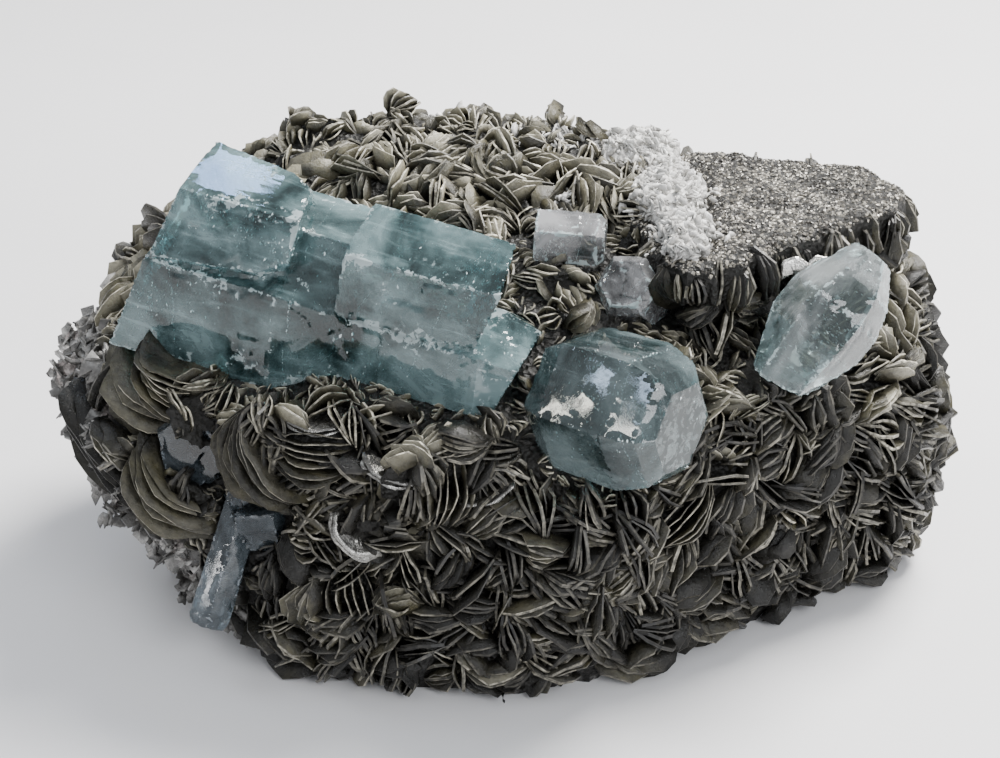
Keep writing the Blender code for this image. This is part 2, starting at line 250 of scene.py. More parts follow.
    def tone(self) -> bpy.types.NodeSocket:
        """The lightness that each small shape carries in its mesh."""
        return self.carried("tone")

    def leaves(self, pattern: Pattern, drift: float = 0.03) -> bpy.types.NodeSocket:
        """Fine parallel lines along a sheet's edge, one leaf each.

        Args:
            pattern: the lines' noise, with the leaves' thickness as its size.
            drift: how quickly the lines change along the edge, as a share of that across it.

        Returns:
            The noise's value, from 0 to 1.
        """
        joined = self.node("ShaderNodeCombineXYZ")
        self.feed(joined.inputs[0], self.carried("layer"))
        lines = self.node("ShaderNodeVectorMath", operation="MULTIPLY_ADD")
        self.feed(lines.inputs[0], self.place)
        lines.inputs[1].default_value = (drift, drift, drift)
        self.feed(lines.inputs[2], joined.outputs[0])
        return self.grain(pattern, lines.outputs[0])

    def bump(self, height: Value, depth_mm: float, strength: float) -> None:
        """Raise the shader's surface by a height from 0 to 1 times a depth."""
        made = self.node("ShaderNodeBump")
        self.feed(made.inputs["Height"], height)
        made.inputs["Distance"].default_value = depth_mm * MM
        made.inputs["Strength"].default_value = strength
        self.feed(self.shader.inputs["Normal"], made.outputs[0])


@dataclass(frozen=True)
class MicaFaceFinish:
    """The flat face of a mica sheet: dark, glossy, with fine cleavage steps."""

    name: str = "mica_face"
    dark: Triple = (0.008, 0.0075, 0.006)
    light: Triple = (0.36, 0.335, 0.25)
    olive: Triple = (0.085, 0.076, 0.040)
    stain: Pattern = Pattern(8, low=0.42, high=0.68, most=0.6)
    stained_tones: Pair = (0.05, 0.3)
    mottle: Pattern = Pattern(2.0, 5, least=0.55, most=1.35)
    polish: Pattern = Pattern(1.6, high=0.75, least=0.16, most=0.52)
    relief: Pattern = Pattern(0.9, 5, 0.65)
    relief_mm: float = 0.35

    def make(self) -> bpy.types.Material:
        """Build the material."""
        graph = Graph(self.name)
        # The tone carries painted shade at the sheets' roots and painted light on the top books.
        shade = graph.blend(graph.times(graph.tone(), graph.tone()), self.dark, self.light)
        paler = graph.span(graph.tone(), *self.stained_tones)
        stained = graph.blend(graph.times(graph.spread(self.stain), paler), shade, self.olive)
        colour = graph.shaded(stained, graph.spread(self.mottle))
        graph.set(Base_Color=colour, Roughness=graph.spread(self.polish))
        graph.set(Specular_IOR_Level=0.35, IOR=1.5)
        graph.bump(graph.grain(self.relief), self.relief_mm, 0.9)
        return graph.material


@dataclass(frozen=True)
class MicaEdgeFinish:
    """The broken edge of a mica book: pale, finely layered."""

    name: str = "mica_edge"
    dark: Triple = (0.014, 0.0125, 0.010)
    light: Triple = (0.50, 0.465, 0.37)
    tones: Pair = (0.03, 0.75)
    mottle: Pattern = Pattern(1.6, 4, 0.65, low=0.38, high=0.66, least=0.2, most=1.5)
    leaves: Pattern = Pattern(0.22, 2, 0.6)
    leaf_band: Pair = (0.34, 0.66)
    leaf_shades: Pair = (0.25, 1.6)
    relief_mm: float = 0.10

    def make(self) -> bpy.types.Material:
        """Build the material."""
        graph = Graph(self.name)
        # The tone carries painted shade at the sheets' roots and painted light on the top books.
        shade = graph.blend(graph.span(graph.tone(), *self.tones), self.dark, self.light)
        shade = graph.shaded(shade, graph.spread(self.mottle))
        lines = graph.span(graph.leaves(self.leaves), *self.leaf_band, self.leaf_shades)
        graph.set(Base_Color=graph.shaded(shade, lines), Roughness=0.42)
        graph.set(Specular_IOR_Level=0.4, IOR=1.5)
        graph.bump(graph.leaves(self.leaves), self.relief_mm, 0.7)
        return graph.material


@dataclass(frozen=True)
class RockFinish:
    """Rough mica rock: near black between the books as painted shade, silvery where it is broken
    bare.
    """

    name: str = "mica_rock"
    dark: Triple = (0.008, 0.0075, 0.006)
    silver: Triple = (0.36, 0.355, 0.335)
    rose: Triple = (0.40, 0.345, 0.325)
    pit: Triple = (0.06, 0.056, 0.05)
    hue: Pattern = Pattern(7, 4, low=0.42, high=0.62)
    pits: Pattern = Pattern(2.6, 5, low=0.34, high=0.5)
    scale_mm: float = 0.9
    scale_shades: Pair = (0.35, 1.6)
    facet_mm: float = 1.3
    facet_gloss: Pair = (0.22, 0.75)
    relief: Pattern = Pattern(1.4, 6, 0.65)
    chip_mm: float = 1.1
    relief_mm: float = 0.8

    def make(self) -> bpy.types.Material:
        """Build the material."""
        graph = Graph(self.name)
        bare = graph.blend(graph.spread(self.hue), self.silver, self.rose)
        scales = graph.span(graph.cells(self.scale_mm), 0.1, 0.9, self.scale_shades)
        broken = graph.blend(graph.spread(self.pits), self.pit, graph.shaded(bare, scales))
        gloss = graph.span(graph.cells(self.facet_mm), 0.0, 1.0, self.facet_gloss)
        # Painted shade: where the tone is low, under the books, the rock is near black for the
        # gaps between them.
        graph.set(Base_Color=graph.blend(graph.tone(), self.dark, broken), Roughness=gloss)
        graph.set(Specular_IOR_Level=0.35)
        chips = graph.cells(self.chip_mm, "Distance")
        graph.bump(graph.plus(graph.grain(self.relief), chips), self.relief_mm, 0.8)
        return graph.material


@dataclass(frozen=True)
class GrainFinish:
    """Small grains, dark to bright by the tone that each one carries."""

    name: str
    dark: Triple
    light: Triple
    roughness: float = 0.35
    metal: float = 0.0
    mottle: Pattern = Pattern(0.8, 4, least=0.7, most=1.2)
    polish: Pattern = Pattern(1.1, 2)
    polish_band: Pair = (0.35, 0.65)
    relief: Pattern = Pattern(0.5)
    relief_mm: float = 0.2

    def make(self) -> bpy.types.Material:
        """Build the material."""
        graph = Graph(self.name)
        shade = graph.blend(graph.tone(), self.dark, self.light)
        gloss = (self.roughness * 0.6, min(self.roughness * 1.5, 1.0))
        polish = graph.span(graph.grain(self.polish), *self.polish_band, gloss)
        graph.set(Base_Color=graph.shaded(shade, graph.spread(self.mottle)), Roughness=polish)
        graph.set(Specular_IOR_Level=0.6, Metallic=self.metal)
        graph.bump(graph.grain(self.relief), self.relief_mm, 0.6)
        return graph.material


@dataclass(frozen=True)
class CrystalFinish:
    """A clear to cloudy crystal, seen through, frosted where its edges are worn.

    The skin is its colour where it is clear, and milk where it is cloudy. clear holds how much
    light passes through the cloudiest and the clearest parts. The frosted colour is partly real
    wear and partly painted: a painted highlight along the edges, and on a dark one a painted
    shade.
    """

    name: str
    skin: Triple
    milk: Triple
    absorb: Triple
    density: float
    frost_and_painted_light: Triple = (0.44, 0.53, 0.54)
    clear: Pair = (0.50, 0.94)
    ior: float = 1.577
    gloss: float = 0.38
    ripple: float = 0.35
    ripple_mm: float = 0.04
    frost_clear: float = 0.5
    frost_roughness: float = 0.3
    most_haze: float = 1.3
    worn_tones: Pair = (0.75, 1.05)
    grit_share: float = 0.7
    stretch: Triple = (1.0, 1.0, 0.15)
    clouds: Pattern = Pattern(17.0, 6, 0.62, 0.5, low=0.40, high=0.64)
    wisps: Pattern = Pattern(3.0, 6, 0.65, 0.8, low=0.54, high=0.68, most=0.45)
    grit: Pattern = Pattern(1.7, 5, 0.6, 0.6, low=0.44, high=0.60)
    etching: Pattern = Pattern(3.4, 5, 0.6, low=0.42, high=0.68, least=0.01, most=0.10)
    waves: Pattern = Pattern(2.2, 2, 0.5)

    def make(self, axes: Matrix) -> bpy.types.Material:
        """Build the material.

        Args:
            axes: the crystal's own axes, with its long axis as z.

        Returns:
            The material.
        """
        graph = Graph(self.name)
        along = graph.stretched(axes, self.stretch)
        haze = graph.plus(graph.spread(self.clouds), graph.spread(self.wisps, along))
        grit = graph.times(graph.spread(self.grit), self.grit_share)
        # worn is the frosted share: real wear, a painted highlight along the edges, and with a
        # dark frosted colour a painted shade.
        worn = graph.span(graph.plus(graph.tone(), grit), *self.worn_tones)
        milky = graph.blend(haze, self.skin, self.milk)
        graph.set(Base_Color=graph.blend(worn, milky, self.frost_and_painted_light))
        see = graph.span(haze, 0.0, self.most_haze, self.clear[::-1])
        frosty = graph.span(worn, 0.0, 1.0, (1.0, self.frost_clear))
        graph.set(Transmission_Weight=graph.times(see, frosty))
        matt = graph.span(worn, 0.0, 1.0, (0.0, self.frost_roughness))
        graph.set(Roughness=graph.plus(graph.spread(self.etching), matt), IOR=self.ior)
        graph.set(Specular_IOR_Level=self.gloss)
        graph.bump(graph.grain(self.waves, along), self.ripple_mm, self.ripple)
        absorption = graph.node("ShaderNodeVolumeAbsorption")
        absorption.inputs["Color"].default_value = (*self.absorb, 1.0)
        absorption.inputs["Density"].default_value = self.density
        graph.tree.links.new(absorption.outputs[0], graph.output.inputs["Volume"])
        return graph.material


@dataclass(frozen=True)
class SpeckFinish:
    """The white specks of a healed crack."""

    name: str = "specks"
    dim: Triple = (0.45, 0.60, 0.62)
    bright: Triple = (0.80, 0.88, 0.89)
    mottle: Pattern = Pattern(0.5, 2, least=0.85, most=1.1)

    def make(self) -> bpy.types.Material:
        """Build the material."""
        graph = Graph(self.name)
        shade = graph.blend(graph.tone(), self.dim, self.bright)
        graph.set(Base_Color=graph.shaded(shade, graph.spread(self.mottle)), Roughness=0.3)
        return graph.material


@dataclass(frozen=True)
class PaperFinish:
    """The pale matt sheet that the specimen stands on."""

    name: str = "backdrop"
    colour: Triple = (0.78, 0.775, 0.78)
    mottle: Pattern = Pattern(120, least=0.97, most=1.02)

    def make(self) -> bpy.types.Material:
        """Build the material."""
        graph = Graph(self.name)
        graph.set(Base_Color=graph.shaded(self.colour, graph.spread(self.mottle)))
        graph.set(Roughness=0.55, Specular_IOR_Level=0.3)
        return graph.material


# ---- meshes ----


@dataclass
class Shapes:
    """Many small shapes, gathered as the triangles of one mesh."""

    points: list[np.ndarray] = field(default_factory=list)
    triangles: list[np.ndarray] = field(default_factory=list)
    slots: list[np.ndarray] = field(default_factory=list)
    flats: list[np.ndarray] = field(default_factory=list)
    tones: list[np.ndarray] = field(default_factory=list)
    layers: list[np.ndarray] = field(default_factory=list)
    count: int = 0

    def add(
        self, points: np.ndarray, triangles: np.ndarray, tones: np.ndarray,
        slots: np.ndarray | None = None, flats: np.ndarray | None = None,
        layers: np.ndarray | None = None,
    ) -> None:
        """Add copies that share one layout of triangles.

        Args:
            points: the copies' points, shaped (copies, points, 3).
            triangles: the layout, shaped (triangles, 3).
            tones: the lightness of each copy, or of each point of each copy.
            slots: the material slot of each triangle of the layout.
            flats: whether each triangle of the layout is shaded flat.
            layers: each point's height through its sheet, in metres.
        """
        copies, size = points.shape[:2]
        starts = self.count + np.arange(copies) * size
        self.points.append(points.reshape(-1, 3))
        self.triangles.append((triangles[None] + starts[:, None, None]).reshape(-1, 3))
        blank = np.zeros(len(triangles), int)
        self.slots.append(np.tile(blank if slots is None else slots, copies))
        self.flats.append(np.tile(blank + 1 if flats is None else flats, copies).astype(bool))
        self.tones.append(np.broadcast_to(tones.reshape(copies, -1), (copies, size)).ravel())
        if layers is not None:
            self.layers.append(layers.ravel())
        self.count += copies * size

    def build(
        self, name: str, materials: list[bpy.types.Material], slot: str
    ) -> bpy.types.Object:
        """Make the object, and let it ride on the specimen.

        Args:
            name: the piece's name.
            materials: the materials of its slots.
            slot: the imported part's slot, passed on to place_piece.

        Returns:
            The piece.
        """
        points = np.concatenate(self.points).astype(np.float32)
        triangles = np.concatenate(self.triangles).astype(np.int32)
        mesh = bpy.data.meshes.new(name)
        mesh.vertices.add(len(points))
        mesh.vertices.foreach_set("co", points.ravel())
        mesh.loops.add(triangles.size)
        mesh.loops.foreach_set("vertex_index", triangles.ravel())
        mesh.polygons.add(len(triangles))
        mesh.polygons.foreach_set("loop_start", np.arange(0, triangles.size, 3, dtype=np.int32))
        mesh.polygons.foreach_set("material_index", np.concatenate(self.slots).astype(np.int32))
        sharp = mesh.attributes.new("sharp_face", "BOOLEAN", "FACE")
        sharp.data.foreach_set("value", np.concatenate(self.flats))
        carry(mesh, "tone", np.concatenate(self.tones))
        if self.layers:
            carry(mesh, "layer", np.concatenate(self.layers))
        mesh.update(calc_edges=True)
        for material in materials:
            mesh.materials.append(material)
        return place_piece(name, mesh, slot)


def carry(mesh: bpy.types.Mesh, name: str, values: np.ndarray) -> None:
    """Give each of a mesh's points a number that its material can read."""
    made = mesh.attributes.new(name, "FLOAT", "POINT")
    made.data.foreach_set("value", values.astype(np.float32))


def add_object(name: str, data: bpy.types.ID) -> bpy.types.Object:
    """Make an object and put it in the scene."""
    made = bpy.data.objects.new(name, data)
    bpy.context.scene.collection.objects.link(made)
    return made


def place_piece(
    name: str, mesh: bpy.types.Mesh, slot: str, stands_for: str | None = None
) -> bpy.types.Object:
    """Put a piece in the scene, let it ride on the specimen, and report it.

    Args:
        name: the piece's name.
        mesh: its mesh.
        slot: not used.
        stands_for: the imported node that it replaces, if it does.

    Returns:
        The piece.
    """
    piece = add_object(name, mesh)
    if stands_for:
        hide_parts(stands_for)
    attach(piece, BODY)
    log.info("%s: %d faces", piece.name, len(mesh.polygons))
    return piece


def mesh_points(mesh: bpy.types.Mesh) -> np.ndarray:
    """A mesh's points, shaped (points, 3)."""
    points = np.empty(len(mesh.vertices) * 3, np.float32)
    mesh.vertices.foreach_get("co", points)
    return points.reshape(-1, 3).astype(float)


def unit(vectors: np.ndarray) -> np.ndarray:
    """The vectors at length one."""
    return vectors / np.maximum(np.linalg.norm(vectors, axis=-1, keepdims=True), 1e-12)


def direction(vector: Triple) -> np.ndarray:
    """One vector at length one."""
    return np.array(Vector(vector).normalized())


def turned(first: np.ndarray, second: np.ndarray, angle: np.ndarray) -> tuple:
    """Turn two perpendicular vectors in their own plane by an angle in radians."""
    c, s = np.cos(angle)[:, None], np.sin(angle)[:, None]
    return first * c + second * s, second * c - first * s


def tree_of(points: np.ndarray) -> KDTree:
    """A search tree of the points."""
    tree = KDTree(len(points))
    for i, point in enumerate(points):
        tree.insert(point, i)
    tree.balance()
    return tree


def thinned(points: np.ndarray, spacing: float) -> np.ndarray:
    """The indices of points that keep a spacing to each other."""
    tree = tree_of(points)
    dropped = np.zeros(len(points), bool)
    for i, point in enumerate(points):
        if dropped[i]:
            continue
        for _, j, _ in tree.find_range(point, spacing):
            dropped[j] |= j > i
    return np.flatnonzero(~dropped)


def points_along(edges: list[bmesh.types.BMEdge], spacing: float) -> np.ndarray:
    """Points along edges, no further apart than a spacing."""
    found = [np.empty((0, 3))]
    for edge in edges:
        a, b = (np.array(vert.co) for vert in edge.verts)
        steps = max(2, math.ceil(edge.calc_length() / spacing) + 1)
        found.append(a + (b - a) * np.linspace(0, 1, steps)[:, None])
    return np.concatenate(found)


def noise_at(points: np.ndarray, size_mm: float, shift: float = 0.0) -> np.ndarray:
    """Smooth noise at points in metres, from about -1 to 1, with features of that size."""
    scaled = points / (size_mm * MM) + shift
    return np.array([noise.noise(Vector(point)) for point in scaled])


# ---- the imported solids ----


class Solid:
    """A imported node's own surface, for finding out what lies in it or near it."""

    def __init__(self, node: str) -> None:
        """Index the node's triangles."""
        self.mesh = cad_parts[node].data
        faces = [tuple(face.vertices) for face in self.mesh.polygons]
        self.tree = BVHTree.FromPolygons([vert.co for vert in self.mesh.vertices], faces)
        self.low, self.high = (np.array(corner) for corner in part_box(node))

    def near(self, points: np.ndarray, reach: float) -> np.ndarray:
        """The indices of the points that lie in the solid's box, widened by a reach."""
        within = (points > self.low - reach) & (points < self.high + reach)
        return np.flatnonzero(np.all(within, axis=1))

    def depth(self, points: np.ndarray, reach: float = 4 * MM) -> np.ndarray:
        """How far each point lies inside the solid.

        Args:
            points: shaped (points, 3).
            reach: points further outside than this aren't measured.

        Returns:
            Depths in metres, positive inside and negative outside.
        """
        found = np.full(len(points), -reach)
        for i in self.near(points, reach):
            point = Vector(points[i])
            where, out, _, distance = self.tree.find_nearest(point)
            inside = (point - where).dot(out) < 0 and self.holds(point)
            found[i] = distance if inside else -distance
        return found

    def holds(self, point: Vector) -> bool:
        """Whether the point is inside, by how often a ray from it meets the surface."""
        way = Vector((0.37, 0.61, 0.70)).normalized()
        meets = 0
        where = self.tree.ray_cast(point, way)[0]
        while where is not None:
            meets += 1
            where = self.tree.ray_cast(where + way * 1e-6, way)[0]
        return meets % 2 == 1

    def inner(self, points: np.ndarray, margin: float = 0.03 * MM) -> np.ndarray:
        """Those of the points that lie inside the solid."""
        return points[self.depth(points) > margin]

    def edge_points(self, spacing: float, angle_deg: float = 12.0) -> np.ndarray:
        """Points along the solid's sharp edges.

        Args:
            spacing: how far apart they are.
            angle_deg: edges that turn less than this don't count.

        Returns:
            The points, shaped (points, 3).
        """
        bm = bmesh.new()
        bm.from_mesh(self.mesh)
        bmesh.ops.remove_doubles(bm, verts=bm.verts, dist=1e-5)
        sharp = [
            edge for edge in bm.edges
            if len(edge.link_faces) == 2 and edge.calc_face_angle() > math.radians(angle_deg)
        ]
        found = points_along(sharp, spacing)
        bm.free()
        return found

    def trace(self, place: np.ndarray, out: Triple, spacing: float) -> np.ndarray:
        """Points along the line where a plane cuts the solid's surface.

        Args:
            place: a point of the plane, in metres.
            out: the plane's own direction.
            spacing: how far apart the points are.

        Returns:
            The points, shaped (points, 3).
        """
        bm = bmesh.new()
        bm.from_mesh(self.mesh)
        whole = [*bm.verts, *bm.edges, *bm.faces]
        cut = bmesh.ops.bisect_plane(bm, geom=whole, plane_co=place, plane_no=out)
        line = [edge for edge in cut["geom_cut"] if isinstance(edge, bmesh.types.BMEdge)]
        found = points_along(line, spacing)
        bm.free()
        return found

    def under(self, points: np.ndarray, depths: np.ndarray) -> np.ndarray:
        """Lay points on the solid's surface, then sink each one by its depth."""
        laid = []
        for point, depth in zip(points, depths):
            where, out, _, _ = self.tree.find_nearest(point)
            laid.append(where - out * depth)
        return np.array(laid).reshape(-1, 3)


@dataclass(frozen=True)
class CrystalRoom:
    """Tells which points lie inside or close to the crystals."""

    solids: list[Solid]

    def depth(self, points: np.ndarray, reach: float = 4 * MM) -> np.ndarray:
        """The deepest that each point lies inside any crystal."""
        return np.max([solid.depth(points, reach) for solid in self.solids], axis=0)


def even_mesh(node: str, voxel_mm: float, smoothing: int) -> bpy.types.Mesh:
    """A node's mesh divided evenly, so that it can carry fine relief.

    Args:
        node: the node's name.
        voxel_mm: how far apart the new points are.
        smoothing: how often the surface is smoothed.

    Returns:
        The new mesh.
    """
    helper = add_object("helper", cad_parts[node].data.copy())
    remesh = helper.modifiers.new("even", "REMESH")
    remesh.mode = "VOXEL"
    remesh.voxel_size = voxel_mm * MM
    smooth = helper.modifiers.new("soften", "SMOOTH")
    smooth.factor = 0.5
    smooth.iterations = smoothing
    bpy.context.view_layer.update()
    graph = bpy.context.evaluated_depsgraph_get()
    mesh = bpy.data.meshes.new_from_object(helper.evaluated_get(graph))
    bpy.data.objects.remove(helper)
    mesh.materials.clear()
    drop_islands(mesh)
    return mesh


def drop_islands(mesh: bpy.types.Mesh) -> None:
    """Remove the loose bits that stay behind where the divided solid is very thin.

    Args:
        mesh: the mesh, of which the largest connected part stays.
    """
    bm = bmesh.new()
    bm.from_mesh(mesh)
    waiting = set(bm.verts)
    islands = []
    for start in bm.verts:
        if start not in waiting:
            continue
        waiting.discard(start)
        reached = [start]
        for vert in reached:
            for edge in vert.link_edges:
                other = edge.other_vert(vert)
                if other in waiting:
                    waiting.discard(other)
                    reached.append(other)
        islands.append(reached)
    islands.sort(key=len)
    loose = [vert for island in islands[:-1] for vert in island]
    bmesh.ops.delete(bm, geom=loose, context="VERTS")
    bm.to_mesh(mesh)
    bm.free()


def set_points(mesh: bpy.types.Mesh, points: np.ndarray, tones: np.ndarray) -> None:
    """Move a mesh's points and give each one its tone."""
    mesh.vertices.foreach_set("co", points.astype(np.float32).ravel())
    carry(mesh, "tone", tones)
    mesh.update()


def normals_of(mesh: bpy.types.Mesh) -> np.ndarray:
    """The mesh's outward directions at its points."""
    return np.array([vert.normal[:] for vert in mesh.vertices])


# ---- the rock core ----


@dataclass
class RockCore:
    """The rock that the books stand in: the block's own form, softened and broken up."""

    voxel: float = 1.9
    smoothing: int = 14
    sink: float = 0.4
    rough_depth: float = 1.3
    inner_depth: float = 0.6
    foot_height: float = 1.2
    foot_hollow: float = 1.4
    press: float = 0.5
    press_reach: float = 3.0
    press_facing: float = -0.3
    lump_size: float = 7.0
    chip_size: float = 2.6
    grit_size: float = 1.6
    crystals: list[Solid] = field(default_factory=list, repr=False)
    finish: RockFinish = RockFinish()
    points: np.ndarray = field(default=None, repr=False)
    normals: np.ndarray = field(default=None, repr=False)
    triangles: np.ndarray = field(default=None, repr=False)

    def build(self) -> bpy.types.Object:
        """Make the core and put it in the block's place."""
        mesh = even_mesh(BLOCK, self.voxel, self.smoothing)
        self.weather(mesh)
        mesh.materials.append(self.finish.make())
        mesh.shade_smooth()
        return place_piece("rock_core", mesh, BLOCK, BLOCK)

    def weather(self, mesh: bpy.types.Mesh) -> None:
        """Break up the skin, and keep its triangles for those who grow on it."""
        points, out = mesh_points(mesh), normals_of(mesh)
        bare = rough_share(points)
        push = np.array([self.crumble(point) for point in points / MM])
        depth = (self.inner_depth + bare * self.rough_depth) * push - self.sink
        moved = points + out * (depth * MM)[:, None]
        foot = points[:, 2] < self.foot_height * MM
        moved[foot, 2] = np.maximum(push[foot], 0) * self.foot_hollow * MM
        moved[:, 2] = np.maximum(moved[:, 2], 0.0)
        self.meet_crystals(moved, out)
        # The tone is the bareness; where books stand, the finish paints the rock near black as
        # shade.
        set_points(mesh, moved, bare)
        mesh.calc_loop_triangles()
        corners = np.empty(len(mesh.loop_triangles) * 3, np.int32)
        mesh.loop_triangles.foreach_get("vertices", corners)
        self.points, self.normals, self.triangles = moved, out, corners.reshape(-1, 3)

    def meet_crystals(self, points: np.ndarray, out: np.ndarray) -> None:
        """Press the walls of the crystals' seats a little way into the crystals."""
        reach = self.press_reach * MM
        for solid in self.crystals:
            for i in solid.near(points, reach):
                where, away, _, gap = solid.tree.find_nearest(points[i])
                if gap < reach and away.dot(Vector(out[i])) < self.press_facing:
                    points[i] = where - away * self.press * MM

    def crumble(self, point: np.ndarray) -> float:
        """Lumps and chips at a point in millimetres, from about -1 to 1."""
        place = Vector(point)
        lumps = noise.noise(place / self.lump_size)
        chips = noise.cell(place / self.chip_size) - 0.5
        grit = noise.noise(place / self.grit_size)
        return lumps * 0.9 + chips * 0.5 + grit * 0.35

    def seats(self, count: int, chance: np.random.Generator) -> tuple[np.ndarray, np.ndarray]:
        """Points strewn evenly over the core.

        Args:
            count: how many points to strew.
            chance: the source of random numbers.

        Returns:
            The points and the core's smooth outward directions there.
        """
        a, b, c = (self.points[self.triangles[:, i]] for i in range(3))
        areas = np.linalg.norm(np.cross(b - a, c - a), axis=1)
        picks = chance.choice(len(areas), count, p=areas / areas.sum())
        u, v = np.sort(chance.random((2, count)), axis=0)
        shares = np.stack([u, v - u, 1 - v], axis=1)[:, :, None]
        corners = self.triangles[picks]
        where = (self.points[corners] * shares).sum(axis=1)
        return where, unit((self.normals[corners] * shares).sum(axis=1))


# The upper limit of the bare, broken rock at the lower left: its height at each x, in mm. It is
# bare in front of BARE_Y, past BARE_END_X and on the foot, each with a soft border.
BARE_X = (-99.0, -81.0, -64.0, -52.0, -45.0)
BARE_Z = (50.0, 36.0, 27.0, 8.0, 0.0)
BARE_Y = 8.0
BARE_END_X = -82.0
BARE_FOOT_Z = 0.6
BARE_FOOT_SHARE = 0.8
BARE_BORDER = 4.0


def rough_share(points: np.ndarray) -> np.ndarray:
    """How bare of books the rock is at each point, from 0 to 1."""
    x, y, z = points.T / MM
    line = np.interp(x, BARE_X, BARE_Z)
    low = np.clip((line - z) / BARE_BORDER, 0, 1) * (y < BARE_Y)
    end = np.clip((BARE_END_X - x) / BARE_BORDER, 0, 1)
    under = (z < BARE_FOOT_Z) * BARE_FOOT_SHARE
    return np.maximum(np.maximum(low, end), under)


# What faces left, front, right and up, as limits of the outward direction. Above SHOULDER_Z all
# that doesn't overhang counts as the top.
LEFT_FACING = -0.4
FRONT_FACING = 0.25
RIGHT_FACING = 0.55
RIGHT_X = 40.0
TOP_FACING = 0.5
SHOULDER_Z = 72.0
SHOULDER_FACING = 0.05


def region_of(points: np.ndarray, normals: np.ndarray) -> np.ndarray:
    """The Region of each seat, by the way it faces."""
    names = np.full(len(points), Region.LEFT, dtype=object)
    names[normals[:, 0] > LEFT_FACING] = Region.BACK
    names[normals[:, 1] < FRONT_FACING] = Region.FRONT
    names[(normals[:, 0] > RIGHT_FACING) & (points[:, 0] > RIGHT_X * MM)] = Region.RIGHT
    top = np.where(points[:, 2] > SHOULDER_Z * MM, SHOULDER_FACING, TOP_FACING)
    names[normals[:, 2] > top] = Region.TOP
    return names


# ---- mica sheets ----


@dataclass(frozen=True)
class SheetForm:
    """How a sheet is divided and shaped: corners along its rim, and rings out from its middle.

    The middle lies root below the place that the sheet stands at, and ripple is the height of
    the waves across it, both as shares of its radius. Its tone falls from the rim towards the
    root: painted shade deep between the sheets.
    """

    corners: int = 9
    rings: int = 1
    start_deg: float = -18.0
    end_deg: float = 198.0
    ragged: float = 0.06
    wavy: float = 0.05
    crumpled: float = 0.012
    root: float = 0.12
    ripple: float = 0.02
    ripple_waves: float = 5.0
    root_tone: float = 0.25

    def layout(self) -> tuple[np.ndarray, np.ndarray]:
        """The triangles of one sheet.

        Returns:
            The triangles over its front then its back points, and their material slots.
        """
        n, side = self.corners, 1 + self.corners * self.rings

        def at(ring: int, i: int) -> int:
            """The point of that corner in that ring."""
            return 0 if ring == 0 else 1 + (ring - 1) * n + i

        front = [(0, at(1, i), at(1, i + 1)) for i in range(n - 1)]
        for ring in range(1, self.rings):
            for i in range(n - 1):
                a, b = at(ring, i), at(ring, i + 1)
                c, d = at(ring + 1, i + 1), at(ring + 1, i)
                front += [(a, d, c), (a, c, b)]
        back = [(c + side, b + side, a + side) for a, b, c in front]
        border = [at(ring, 0) for ring in range(self.rings + 1)]
        border += [at(self.rings, i) for i in range(1, n)]
        border += [at(ring, n - 1) for ring in range(self.rings - 1, 0, -1)]
        rim = []
        for a, b in zip(border, border[1:] + border[:1]):
            rim += [(a, b + side, b), (a, a + side, b + side)]
        slots = [Surface.FACE.value] * (2 * len(front)) + [Surface.EDGE.value] * len(rim)
        return np.array(front + back + rim), np.array(slots)


@dataclass
class Sheets:
    """A batch of mica sheets, each with its place, axes and shape. Lengths are in metres."""

    centre: np.ndarray
    along: np.ndarray
    up: np.ndarray
    radius: np.ndarray
    thick: np.ndarray
    cup: np.ndarray
    tone: np.ndarray
    tall: np.ndarray
    pinch: np.ndarray

    @classmethod
    def joined(cls, batches: list["Sheets"]) -> "Sheets":
        """Several batches as one."""
        rows = ([getattr(batch, each.name) for batch in batches] for each in fields(cls))
        return cls(*(np.concatenate(row) for row in rows))

    def shapes(self, form: SheetForm, chance: np.random.Generator) -> tuple:
        """The points of every sheet.

        Args:
            form: how each sheet is divided.
            chance: the source of random numbers.

        Returns:
            Points shaped (sheets, points, 3), the front points first, then their tones, darker
            towards the roots as painted shade, then their heights through the sheet.
        """
        count, n = len(self.centre), form.corners
        radius = self.radius[:, None]
        angles = np.radians(np.linspace(form.start_deg, form.end_deg, n))
        wobble = chance.normal(0, form.ragged, (count, n))
        for waves in (3, 6):
            wobble += form.wavy * np.cos(waves * angles + chance.uniform(0, 6, (count, 1)))
        reach = radius * (1 + wobble)
        x, z = [np.zeros((count, 1))], [np.full((count, 1), -form.root) * radius]
        for ring in range(1, form.rings + 1):
            share = ring / form.rings
            x.append(reach * np.cos(angles) * share)
            z.append(reach * np.sin(angles) * share * self.tall[:, None])
        x, z = np.concatenate(x, axis=1), np.concatenate(z, axis=1)
        across = np.cross(self.up, self.along)
        reached = x / radius
        phase = chance.uniform(0, 6, (count, 1))
        bow = self.cup[:, None] * (x * x + z * z) / radius
        bow -= self.pinch[:, None] * reached ** 2
        bow += radius * form.ripple * np.sin(reached * form.ripple_waves + phase)
        bow += radius * chance.normal(0, form.crumpled, x.shape)
        flat = self.centre[:, None] + x[..., None] * self.along[:, None]
        flat += z[..., None] * self.up[:, None]
        half = self.thick[:, None] / 2
        sides = [flat + (bow + side * half)[..., None] * across[:, None] for side in (-1, 1)]
        # Painted shade: the tone falls from the rim to the root, deep between the sheets.
        height = np.clip(z / radius, 0, 1)
        tones = self.tone[:, None] * (form.root_tone + (1 - form.root_tone) * height)
        start = chance.uniform(0, 1, (count, 1))
        layers = [np.broadcast_to(start, x.shape), np.broadcast_to(start + 2 * half, x.shape)]
        points, tones = np.concatenate(sides, axis=1), np.concatenate([tones, tones], axis=1)
        return points, tones, np.concatenate(layers, axis=1)


